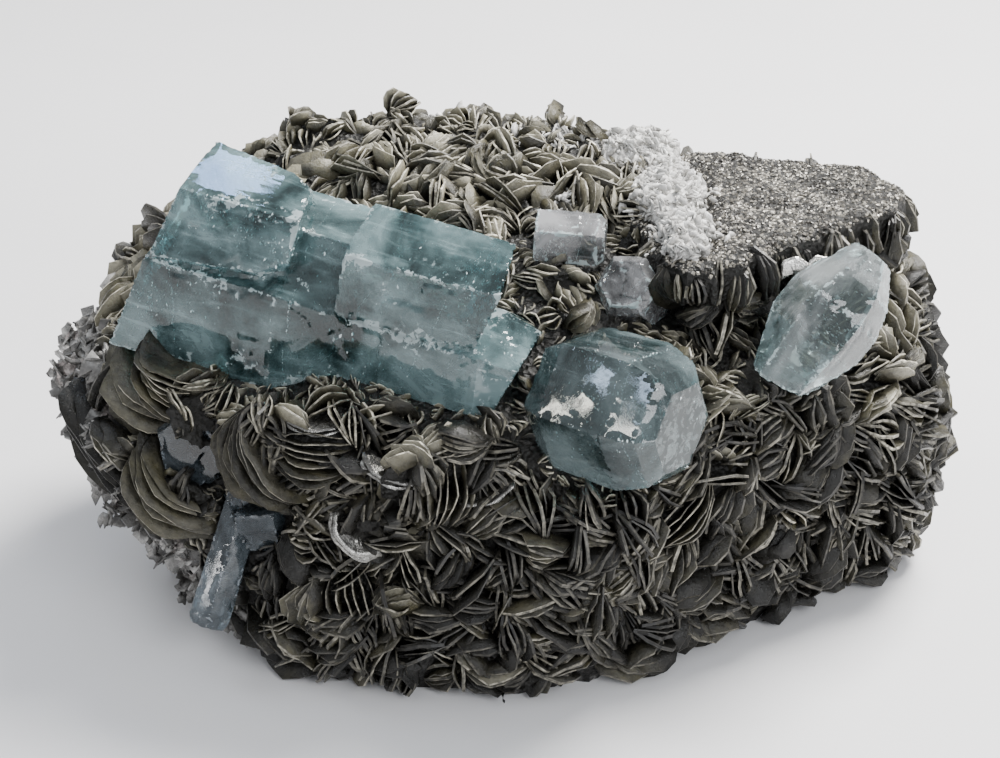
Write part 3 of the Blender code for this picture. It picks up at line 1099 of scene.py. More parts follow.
def build_sheets(
    name: str, sheets: Sheets, form: SheetForm, materials: list[bpy.types.Material],
    chance: np.random.Generator, fits: Callable | None = None, ceiling: float = 1.0,
    slot: str = BLOCK,
) -> bpy.types.Object:
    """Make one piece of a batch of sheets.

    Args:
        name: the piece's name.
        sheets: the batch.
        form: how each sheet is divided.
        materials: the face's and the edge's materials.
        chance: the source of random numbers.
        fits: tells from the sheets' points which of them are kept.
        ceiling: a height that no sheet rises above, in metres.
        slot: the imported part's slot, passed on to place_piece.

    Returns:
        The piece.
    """
    points, tones, layers = sheets.shapes(form, chance)
    points[..., 2] = np.minimum(points[..., 2], ceiling)
    kept = fits(points, form) if fits else points[..., 2].min(axis=1) > 0.2 * MM
    layout, slots = form.layout()
    shapes = Shapes()
    edges = slots == Surface.EDGE.value
    shapes.add(points[kept], layout, tones[kept], slots, edges, layers[kept])
    return shapes.build(name, materials, slot)


@dataclass(frozen=True)
class BookStyle:
    """How the books of a region look. Lengths are in millimetres.

    The pairs are the least and the most that a book or a sheet draws. The sheets of a book are
    fanned by fan_deg each, grow smaller by taper towards its sides, and are pinched together at
    their rims.
    """

    radius: Pair = (4.0, 8.0)
    sheets: tuple[int, int] = (2, 6)
    gap: Pair = (0.7, 1.6)
    thick: Pair = (0.22, 0.75)
    fan_deg: float = 5.5
    fan_share: Pair = (0.2, 1.6)
    fan_error_deg: float = 2.5
    lean_deg: float = 13.0
    roll_deg: float = 10.0
    slide: float = 1.0
    sink: float = 1.0
    cup: float = 0.06
    tone: Pair = (0.05, 0.42)
    tone_weights: Pair = (1.1, 1.8)
    tone_share: Pair = (0.4, 1.5)
    tall: Pair = (0.75, 1.15)
    tall_share: Pair = (0.9, 1.08)
    radius_share: Pair = (0.82, 1.06)
    taper: float = 0.022
    pinch: float = 0.8

    def leaf_through(
        self, count: int, chance: np.random.Generator
    ) -> tuple[np.ndarray, np.ndarray]:
        """Draw how many sheets each book has, and number them.

        Args:
            count: how many books there are.
            chance: the source of random numbers.

        Returns:
            Each sheet's book, and its place in the book, counted from the middle.
        """
        sheets = chance.integers(self.sheets[0], self.sheets[1] + 1, count)
        book = np.repeat(np.arange(count), sheets)
        order = np.arange(len(book)) - np.repeat(np.cumsum(sheets) - sheets, sheets)
        return book, order - (sheets[book] - 1) / 2


def grow_sheets(
    where: np.ndarray, out: np.ndarray, style: BookStyle, chance: np.random.Generator,
    share: np.ndarray | float = 1.0,
) -> Sheets:
    """Books of fanned sheets, one book at each seat.

    Args:
        where: the seats.
        out: the outward direction at each seat.
        style: how the books look.
        chance: the source of random numbers.
        share: the size of each book as a share of its style's.

    Returns:
        All the books' sheets as one batch.
    """
    count = len(where)
    side = unit(np.cross(out, unit(chance.normal(size=(count, 3)))))
    lean = np.radians(chance.normal(0, style.lean_deg, (2, count)))
    up, side = turned(out, side, lean[0])
    across = np.cross(up, side)
    up, across = turned(up, across, lean[1])
    book, order = style.leaf_through(count, chance)
    total = len(book)
    gap = chance.uniform(*style.gap, count)[book] * MM
    fan = style.fan_deg * chance.uniform(*style.fan_share, count)[book]
    fan = np.radians(fan * order + chance.normal(0, style.fan_error_deg, total))
    radius = (chance.uniform(*style.radius, count) * share)[book] * MM
    radius *= chance.uniform(*style.radius_share, total) * (1 - style.taper * order ** 2)
    tall, _ = turned(up[book], across[book], fan)
    roll = np.radians(chance.normal(0, style.roll_deg, total))
    along, tall = turned(side[book], tall, roll)
    centre = where[book] + across[book] * (order * gap)[:, None] - out[book] * style.sink * MM
    centre += along * chance.normal(0, style.slide * MM, total)[:, None]
    darkest, palest = style.tone
    tone = darkest + (palest - darkest) * chance.beta(*style.tone_weights, count)[book]
    tone *= chance.uniform(*style.tone_share, total)
    return Sheets(
        centre, along, tall, radius, chance.uniform(*style.thick, total) * MM,
        chance.normal(0, style.cup, count)[book], np.clip(tone, 0.02, 1),
        chance.uniform(*style.tall, count)[book] * chance.uniform(*style.tall_share, total),
        order * gap * style.pinch,
    )


@dataclass
class MicaBooks:
    """The standing mica books all over the block. Lengths are in millimetres.

    Books keep off the ledge's top, the foot, bare rock, the crystals' seats and the spheres in
    kept_clear. They are smaller where a crystal is nearer than roomy, and behind the top. The top
    books are lighter, partly paler mica and partly painted light, and the back books high up
    are lightened as painted light on their shaded faces.
    """

    core: RockCore
    room: CrystalRoom
    materials: list[bpy.types.Material]
    kept_clear: np.ndarray
    limits: tuple
    seed: int = 7
    strewn: int = 40000
    spacing: float = 3.6
    floor_gap: float = 0.3
    overgrown: float = 2.4
    past_box: float = 0.2
    ledge_depth: float = 12.0
    ledge_corner: Pair = (29.0, 36.0)
    lowest: float = 1.5
    overhang: float = -0.85
    most_bare: float = 0.35
    probe: float = 1.5
    most_buried: float = 0.6
    roomy: float = 9.0
    least_share: float = 0.4
    behind_y: float = 24.0
    behind_share: float = 0.62
    # Back books above this height are lightened by paler: painted light on their shaded faces.
    pale_z: float = 76.0
    paler: float = 0.4
    styles: dict[Region, BookStyle] = field(default_factory=lambda: {
        Region.FRONT: BookStyle(tone=(0.06, 0.45)),
        Region.RIGHT: BookStyle(),
        # The top books' far higher tones are partly paler mica and partly painted light on the lit
        # top.
        Region.TOP: BookStyle(
            radius=(3.6, 6.9), sheets=(2, 6), gap=(0.6, 1.5), thick=(0.15, 0.5), tone=(0.45, 1.25),
            cup=0.11, lean_deg=20,
        ),
        Region.BACK: BookStyle(radius=(4.0, 7.6), tone=(0.1, 0.55)),
        Region.LEFT: BookStyle(tone=(0.12, 0.65)),
    })

    def build(self) -> list[bpy.types.Object]:
        """Make one piece for each region."""
        chance = np.random.default_rng(self.seed)
        where, out = self.core.seats(self.strewn, chance)
        kept = self.open_seats(where, out)
        where, out = where[kept], out[kept]
        kept = thinned(where, self.spacing * MM)
        where, out = where[kept], out[kept]
        regions = region_of(where, out)
        return [self.build_region(region, where, out, regions, chance) for region in Region]

    def open_seats(self, where: np.ndarray, out: np.ndarray) -> np.ndarray:
        """Which seats may hold a book: not bare rock, the ledge's top or a crystal's seat."""
        x, y, z = where.T / MM
        left, back = self.ledge_corner
        ledge = (z > LEDGE_TOP_Z - self.ledge_depth) & (x > left) & (y < back)
        under = (z < self.lowest) | (out[:, 2] < self.overhang)
        bare = rough_share(where) > self.most_bare
        buried = self.room.depth(where + out * self.probe * MM) > self.most_buried * MM
        gaps = np.linalg.norm(where[:, None] - self.kept_clear[None, :, :3], axis=2)
        taken = (gaps < self.kept_clear[None, :, 3]).any(axis=1)
        return ~(ledge | under | bare | buried | taken)

    def build_region(
        self, region: Region, where: np.ndarray, out: np.ndarray, regions: np.ndarray,
        chance: np.random.Generator,
    ) -> bpy.types.Object:
        """Make the books of one region.

        Args:
            region: which side of the block.
            where: every seat.
            out: the outward direction at every seat.
            regions: the region of every seat.
            chance: the source of random numbers.

        Returns:
            The region's piece.
        """
        mine = regions == region
        where, out = where[mine], out[mine]
        free = -self.room.depth(where + out * 2 * MM, (self.roomy + 1) * MM)
        share = np.clip(free / (self.roomy * MM), self.least_share, 1)
        behind = (where[:, 1] > self.behind_y * MM) & (where[:, 2] > SHOULDER_Z * MM)
        share[behind] *= self.behind_share
        sheets = grow_sheets(where, out, self.styles[region], chance, share)
        # Painted light: the high back sheets get lighter tones, standing in for light on their
        # shaded faces.
        if region == Region.BACK:
            high = sheets.centre[:, 2] > self.pale_z * MM
            sheets.tone[high] = np.clip(sheets.tone[high] + self.paler, 0, 1)
        name = f"mica_books_{region.value}"
        return build_sheets(name, sheets, SheetForm(), self.materials, chance, self.fits)

    def fits(self, points: np.ndarray, form: SheetForm) -> np.ndarray:
        """Which sheets stay above the floor and out of the crystals."""
        above = points[..., 2].min(axis=1) > self.floor_gap * MM
        rim = points[:, 1:1 + form.corners]
        depth = self.room.depth(rim.reshape(-1, 3), 1 * MM).reshape(rim.shape[:2])
        low, high = (np.array(corner) for corner in self.limits)
        inside = (points > low - self.past_box * MM) & (points < high + self.past_box * MM)
        return above & inside.all(axis=(1, 2)) & (depth.max(axis=1) < self.overgrown * MM)


@dataclass(frozen=True)
class BigBook:
    """One large curved book. Lengths are in millimetres.

    The sheets are rooted at place and reach out to their free rims. They are stacked towards
    opening, the side that their bowls open to, each a gap and a fan angle from the last.
    """

    place: Triple
    out: Triple
    opening: Triple
    radius: float
    sheets: int
    gap: float = 1.2
    fan_deg: float = 6.0
    cup: float = 0.25
    tall: float = 1.0
    tone: float = 0.54
    thick: float = 0.32
    pinch: float = 0.6

    def grow(self, chance: np.random.Generator) -> Sheets:
        """The book's sheets, each a little different from the next."""
        up = Vector(self.out).normalized()
        across = Vector(self.opening).normalized()
        along = across.cross(up).normalized()
        across = up.cross(along)
        count = self.sheets
        order = np.arange(count) - (count - 1) / 2
        ups, acrosses = turned(
            np.tile(up, (count, 1)), np.tile(across, (count, 1)),
            np.radians(self.fan_deg * order + chance.normal(0, 1.2, count)),
        )
        centre = np.array(self.place) * MM + acrosses * (order * self.gap * MM)[:, None]
        return Sheets(
            centre, np.cross(acrosses, ups), ups,
            self.radius * MM * chance.uniform(0.85, 1.05, count),
            self.thick * MM * chance.uniform(0.7, 1.2, count),
            np.full(count, self.cup), np.clip(self.tone + chance.normal(0, 0.05, count), 0, 1),
            np.full(count, self.tall) * chance.uniform(0.92, 1.05, count),
            order * self.gap * self.pinch * MM,
        )

    def room(self) -> list[float]:
        """The sphere that the small books keep out of: x, y, z and radius."""
        middle = np.array(self.place) + 0.5 * self.radius * np.array(self.out)
        return [*middle, 0.75 * self.radius]


BIG_BOOKS = (
    BigBook((-67.5, -18.5, 54), (-0.70, -0.45, -0.45), (-0.10, -0.50, 0.80), 15, 9,
            gap=0.8, fan_deg=5, cup=0.2),
    BigBook((-66, -28, 60), (-0.10, -0.85, -0.50), (0.25, -0.55, 0.80), 9.5, 9,
            gap=1.0, fan_deg=4, cup=0.45),
    # This long book's faces are darkened to tone 0.14: painted shade under the rock above it.
    BigBook((-78.5, -17, 36), (-0.55, -0.55, -0.35), (0.35, -0.65, 0.68), 19, 6,
            gap=1.1, fan_deg=3, cup=0.08, tall=0.5, tone=0.14),
    BigBook((-66, -31, 38), (-0.45, -0.65, -0.60), (0.40, -0.65, 0.65), 12.5, 9,
            gap=1.1, fan_deg=5, cup=0.4),
    BigBook((-46, -41, 50.5), (-0.70, -0.50, -0.45), (0.62, -0.60, 0.50), 12, 10,
            gap=1.0, fan_deg=4.5, cup=0.35, tone=0.36),
    BigBook((-37, -47, 55), (0.0, -0.9, -0.1), (0.1, -0.2, 0.97), 9, 8,
            gap=0.9, cup=0.15, tone=0.30),
    BigBook((-11, -52, 48), (0.30, -0.75, 0.45), (-0.75, -0.45, 0.30), 8.5, 11,
            gap=0.8, fan_deg=9, cup=0.22, tone=0.36, thick=0.35),
    BigBook((-35, -44, 62), (0.1, -0.35, 0.95), (0.5, -0.8, 0.1), 5.5, 3,
            gap=1.3, fan_deg=12, cup=0.2, tone=0.6),
    BigBook((-30, -50, 23), (-0.1, -0.95, 0.1), (0.95, -0.1, 0.2), 8, 8,
            gap=1.4, fan_deg=5, cup=0.1, tone=0.3),
    BigBook((36, -38, 35), (0.25, -0.85, 0.1), (-0.6, -0.3, 0.72), 11, 8,
            gap=1.0, fan_deg=5, cup=0.3, tone=0.3),
)
SILVER_BOOKS = (
    BigBook((-36, -48, 61), (0.10, -0.90, -0.35), (0.05, -0.45, 0.89), 6.5, 2,
            gap=1, fan_deg=2, cup=0.1, tall=0.6, tone=0.6),
    BigBook((-20, -54.5, 54), (-0.1, -0.80, -0.55), (0.15, -0.55, 0.8), 7.5, 2,
            gap=1, fan_deg=4, tall=0.62, tone=0.7),
    BigBook((-3, -54, 48), (0.25, -0.85, -0.45), (-0.1, -0.5, 0.86), 6, 2,
            gap=1, fan_deg=4, tall=0.6, tone=0.5),
    BigBook((-29, -55, 39), (-0.5, -0.6, -0.5), (0.4, -0.7, 0.5), 6.5, 2,
            gap=1, fan_deg=4, tall=0.62, tone=0.7),
    BigBook((60, -22.5, 81.5), (0.1, 0.47, 0.88), (0.1, -0.88, 0.47), 3.4, 1,
            gap=1, fan_deg=0, cup=0.1, tone=1.0),
    BigBook((65.5, -19, 80.5), (-0.1, 0.47, 0.88), (0.25, -0.85, 0.47), 3, 1,
            gap=1, fan_deg=0, cup=0.1, tone=0.9),
)
# Open ground round the slender crystal and its stub, as x, y, z and radius in mm.
OPEN_ZONES = ((-61, -40, 48, 6.5), (-58, -48, 26, 8), (-60, -50, 18, 6), (-52, -47, 37, 4.5))


@dataclass
class CurvedBooks:
    """The large curved books at the lower left, and the few silver ones."""

    materials: list[bpy.types.Material]
    silver: bpy.types.Material
    seed: int = 21
    form: SheetForm = SheetForm(23, 4, -35, 215, ragged=0.012, wavy=0.04)

    def build(self) -> None:
        """Make the curved books and the silver ones."""
        chance = np.random.default_rng(self.seed)
        groups = {
            "curved_books": (BIG_BOOKS, self.materials),
            "silver_books": (SILVER_BOOKS, [self.silver, self.silver]),
        }
        for name, (books, materials) in groups.items():
            sheets = Sheets.joined([book.grow(chance) for book in books])
            build_sheets(name, sheets, self.form, materials, chance)

    @staticmethod
    def zones() -> np.ndarray:
        """Spheres that the small books keep out of, as rows of x, y, z and radius in metres."""
        return np.array([*(book.room() for book in BIG_BOOKS + SILVER_BOOKS), *OPEN_ZONES]) * MM


# ---- grains ----


GRAIN_POINTS = np.array(
    [(1, 0, 0), (-1, 0, 0), (0, 1, 0), (0, -1, 0), (0, 0, 1), (0, 0, -1)], float
)
GRAIN_FACES = np.array([
    (0, 2, 4), (2, 1, 4), (1, 3, 4), (3, 0, 4), (2, 0, 5), (1, 2, 5), (3, 1, 5), (0, 3, 5),
])


def grain_points(
    where: np.ndarray, size: np.ndarray, flat: float, out: np.ndarray,
    chance: np.random.Generator,
) -> np.ndarray:
    """The points of small eight-sided grains.

    Args:
        where: their middles.
        size: their radii.
        flat: their thickness as a share of their width.
        out: the directions that their flat sides face, a little off: the longer, the less.
        chance: the source of random numbers.

    Returns:
        Points shaped (grains, 6, 3).
    """
    count = len(where)
    up = unit(out + 0.45 * unit(chance.normal(size=(count, 3))))
    side = unit(np.cross(up, unit(chance.normal(size=(count, 3)))))
    axes = np.stack([side, np.cross(up, side), up * flat], axis=1)
    local = GRAIN_POINTS[None] * chance.uniform(0.6, 1.25, (count, 6, 1))
    return where[:, None] + np.einsum("gpi,gij->gpj", local, axes) * size[:, None, None]


def flake_points(where: np.ndarray, out: np.ndarray, chance: np.random.Generator) -> np.ndarray:
    """The points of very thin flakes that lie in one plane, as grain_points gives them."""
    size = (0.06 + 0.34 * chance.random(len(where)) ** 3) * MM
    return grain_points(where, size, 0.16, np.tile(out * 3, (len(where), 1)), chance)


@dataclass
class RoughEnd:
    """The broken lower left end: flakes and scales on bare rock."""

    core: RockCore
    finish: GrainFinish = GrainFinish(
        "broken_flakes", (0.04, 0.038, 0.034), (0.56, 0.545, 0.52), 0.35, 0.25
    )
    seed: int = 5
    strewn: int = 30000
    spacing: float = 1.7
    least_bare: float = 0.3
    lowest: float = 1.5
    form: SheetForm = SheetForm(7, 1, -90, 230, ragged=0.16)
    style: BookStyle = BookStyle(
        radius=(0.9, 3.2), sheets=(1, 3), gap=(0.3, 0.7), thick=(0.18, 0.45), fan_deg=4,
        lean_deg=24, sink=-0.1, cup=0.1, tone=(0.15, 1.4),
    )

    def build(self) -> bpy.types.Object:
        """Make the flakes."""
        chance = np.random.default_rng(self.seed)
        where, out = self.core.seats(self.strewn, chance)
        kept = (rough_share(where) > self.least_bare) & (where[:, 2] > self.lowest * MM)
        where, out = where[kept], out[kept]
        kept = thinned(where, self.spacing * MM)
        where, out = where[kept], out[kept]
        flat = unit(np.cross(out, unit(chance.normal(size=out.shape))))
        sheets = grow_sheets(where, flat, self.style, chance)
        materials = [self.finish.make()] * 2
        return build_sheets("broken_end_flakes", sheets, self.form, materials, chance)


@dataclass
class LedgeCrust:
    """The ledge's granular top, and the upright books round its edge, in millimetres.

    edge holds the ledge's corners, as x and y. The books stand step apart along it, moved in by
    inset, with their roots drop below the top.
    """

    core: RockCore
    materials: list[bpy.types.Material]
    finish: GrainFinish = GrainFinish(
        "ledge_grain", (0.018, 0.015, 0.011), (0.49, 0.455, 0.385), 0.3, 0.25
    )
    seed: int = 9
    strewn: int = 150000
    grains: int = 13000
    grain_size: Pair = (0.2, 0.65)
    crust_depth: float = 4.0
    crust_x: float = 26.0
    crust_facing: float = 0.35
    step: float = 3.2
    inset: float = 3.4
    drop: float = 6.4
    rise: float = 0.3
    edge: tuple[Pair, ...] = (
        (29, -14), (34, -29), (40, -31), (52, -24), (64, -15), (75, -5), (86, 2), (89, 10),
        (81, 24), (62, 29), (40, 34),
    )
    form: SheetForm = SheetForm(11, 1, -60, 240, ragged=0.05)
    style: BookStyle = BookStyle(
        radius=(3.4, 6.6), sheets=(2, 5), gap=(0.5, 1.1), lean_deg=16, roll_deg=9, fan_deg=4,
        tone=(0.03, 0.5), cup=0.08, thick=(0.25, 0.7), radius_share=(0.85, 1.05),
    )

    def build(self) -> None:
        """Make the crust and the edge."""
        chance = np.random.default_rng(self.seed)
        self.build_crust(chance)
        self.build_edge(chance)

    def build_crust(self, chance: np.random.Generator) -> bpy.types.Object:
        """Small grains strewn over the top."""
        where, out = self.core.seats(self.strewn, chance)
        x, _, z = where.T / MM
        on_top = (z > LEDGE_TOP_Z - self.crust_depth) & (x > self.crust_x)
        kept = np.flatnonzero(on_top & (out[:, 2] > self.crust_facing))[: self.grains]
        where, out = where[kept], out[kept]
        size = chance.uniform(*self.grain_size, len(where)) * MM
        patches = 0.35 * noise_at(where, 6.0) + 0.25 * noise_at(where, 2.0)
        tone = np.clip(chance.beta(0.8, 1.7, len(where)) + patches, 0, 1)
        shapes = Shapes()
        shapes.add(grain_points(where, size, 0.6, out, chance), GRAIN_FACES, tone)
        return shapes.build("ledge_crust", [self.finish.make()], BLOCK)

    def build_edge(self, chance: np.random.Generator) -> bpy.types.Object:
        """Upright stacks of sheets that point outward all round."""
        corners = np.array(self.edge, float)
        seats, outs = [], []
        for a, b in zip(corners, corners[1:]):
            length = np.linalg.norm(b - a)
            steps = max(1, round(length / self.step))
            way = (b - a) / length
            for share in (np.arange(steps) + 0.5) / steps:
                seats.append([*(a + (b - a) * share), LEDGE_TOP_Z - self.drop])
                outs.append([way[1], -way[0], 0.12])
        out = unit(np.array(outs))
        where = np.array(seats) * MM - out * self.inset * MM
        where += chance.normal(0, 1.0, where.shape) * MM
        sheets = grow_upright(where, out, self.style, chance)
        top = (LEDGE_TOP_Z + self.rise) * MM
        return build_sheets(
            "ledge_edge_books", sheets, self.form, self.materials, chance, ceiling=top
        )


def grow_upright(
    where: np.ndarray, out: np.ndarray, style: BookStyle, chance: np.random.Generator
) -> Sheets:
    """Books whose sheets stand upright and point outward, one book at each seat.

    Args:
        where: the seats.
        out: the outward direction at each seat.
        style: how the books look.
        chance: the source of random numbers.

    Returns:
        All the books' sheets as one batch.
    """
    count = len(where)
    book, order = style.leaf_through(count, chance)
    total = len(book)
    up = out[book]
    across = unit(np.cross(up, np.array([0.0, 0.0, 1.0])))
    lean = np.radians(chance.normal(0, style.lean_deg, count)[book] + style.fan_deg * order)
    up, across = turned(up, across, lean)
    along = np.cross(across, up)
    roll = np.radians(chance.normal(0, style.roll_deg, count)[book])
    along, across = turned(along, across, roll)
    gap = chance.uniform(*style.gap, count)[book] * MM
    radius = chance.uniform(*style.radius, count)[book]
    return Sheets(
        where[book] + across * (order * gap)[:, None], along, up,
        radius * chance.uniform(*style.radius_share, total) * MM,
        chance.uniform(*style.thick, total) * MM, chance.normal(0, style.cup, count)[book],
        np.clip(chance.uniform(*style.tone, count)[book] + chance.normal(0, 0.08, total), 0, 1),
        chance.uniform(*style.tall, total), order * gap * style.pinch,
    )


@dataclass
class Albite:
    """White bladed albite: the node's lumps, roughened, with blades strewn round them.

    patches holds the spheres where blades grow on the rock, as x, y, z and radius in mm.
    """

    core: RockCore
    finish: GrainFinish = GrainFinish("albite", (0.34, 0.33, 0.31), (0.94, 0.93, 0.90), 0.5)
    blades: BookStyle = BookStyle(
        radius=(0.5, 1.7), sheets=(1, 3), gap=(0.25, 0.5), thick=(0.12, 0.35), fan_deg=8,
        lean_deg=30, sink=0.2, cup=0.1, tone=(0.15, 1.5),
    )
    form: SheetForm = SheetForm(5, ragged=0.12)
    seed: int = 13
    strewn: int = 60000
    most_on_rock: int = 2000
    on_lumps: int = 1700
    voxel: float = 0.8
    smoothing: int = 3
    patches: tuple = (
        (33, 8, 87, 13), (30, 28, 88, 12), (38, -14, 86, 9), (24, 16, 86, 9), (14, 34, 91, 7),
        (-8, 44, 91, 6), (-14, 41, 92, 5), (6, 30, 90, 5), (16, 6, 84, 5),
    )

    def build(self) -> None:
        """Make the lumps and the blades."""
        mesh = even_mesh("albite", self.voxel, self.smoothing)
        points, out = mesh_points(mesh), normals_of(mesh)
        push = noise_at(points, 3.0) * 0.7 + noise_at(points, 1.1) * 0.45
        points += out * (push * MM)[:, None]
        veins = 0.9 * noise_at(points * np.array([1.0, 0.4, 1.0]), 2.2)
        veins += 0.5 * noise_at(points, 7.0)
        set_points(mesh, points, np.clip(0.62 + veins, 0, 1))
        material = self.finish.make()
        mesh.materials.append(material)
        mesh.shade_smooth()
        place_piece("albite_lumps", mesh, "albite", "albite")
        self.build_blades(points, out, material)

    def build_blades(
        self, lump_points: np.ndarray, lump_out: np.ndarray, material: bpy.types.Material
    ) -> bpy.types.Object:
        """Strew small blades on the lumps and on the rock near them.

        Args:
            lump_points: the lumps' points.
            lump_out: the lumps' outward directions.
            material: the blades' material.

        Returns:
            The piece.
        """
        chance = np.random.default_rng(self.seed)
        where, out = self.core.seats(self.strewn, chance)
        near = np.zeros(len(where), bool)
        for x, y, z, radius in self.patches:
            gap = np.linalg.norm(where - np.array([x, y, z]) * MM, axis=1) / (radius * MM)
            near |= gap < chance.uniform(0.1, 1.1, len(where))
        kept = np.flatnonzero(near)[: self.most_on_rock]
        picks = chance.choice(len(lump_points), self.on_lumps)
        where = np.concatenate([where[kept], lump_points[picks]])
        out = np.concatenate([out[kept], lump_out[picks]])
        out = unit(out + chance.normal(0, 0.5, where.shape))
        sheets = grow_sheets(where, out, self.blades, chance)
        materials = [material, material]
        return build_sheets(
            "albite_blades", sheets, self.form, materials, chance, slot="albite"
        )


# ---- crystals ----


@dataclass(frozen=True)
class Crack:
    """A healed crack right across a crystal: a plane through a place, in millimetres.

    Its specks lie spacing apart along the crystal's surface, up to wander off the plane, and a
    random depth of about deep under the surface.
    """

    place: Triple
    out: Triple
    spacing: float = 0.16
    wander: float = 1.0
    blur: float = 0.12
    deep: float = 0.25

    def strew(self, solid: Solid, chance: np.random.Generator) -> np.ndarray:
        """Points where the plane meets the crystal's surface, a little way under it.

        Args:
            solid: the crystal's solid.
            chance: the source of random numbers.

        Returns:
            The points, shaped (points, 3).
        """
        along = solid.trace(np.array(self.place) * MM, self.out, self.spacing * MM)
        drift = noise_at(along, 5.0)[:, None] * direction(self.out)
        moved = along + drift * self.wander * MM + chance.normal(0, self.blur * MM, along.shape)
        kept = noise_at(moved, 3.0, 5.0) > -0.25
        return solid.under(moved[kept], chance.exponential(self.deep * MM, kept.sum()))


@dataclass(frozen=True)
class Flecks:
    """Bright flecks in a crystal's skin, round a place. Lengths are in millimetres."""

    place: Triple
    radius: float
    count: int
    deep: float = 0.5

    def strew(self, solid: Solid, chance: np.random.Generator) -> np.ndarray:
        """Points in the crystal's skin, gathered in patches.

        Args:
            solid: the crystal's solid.
            chance: the source of random numbers.

        Returns:
            The points, shaped (points, 3).
        """
        spread = chance.normal(0, self.radius * 0.5 * MM, (self.count * 3, 3))
        where = np.array(self.place) * MM + spread
        patches = noise_at(where, 2.6, 3.0) + 0.8 * noise_at(where, 0.9)
        where = where[patches > 0.34][: self.count]
        return solid.under(where, chance.exponential(self.deep * MM, len(where)))


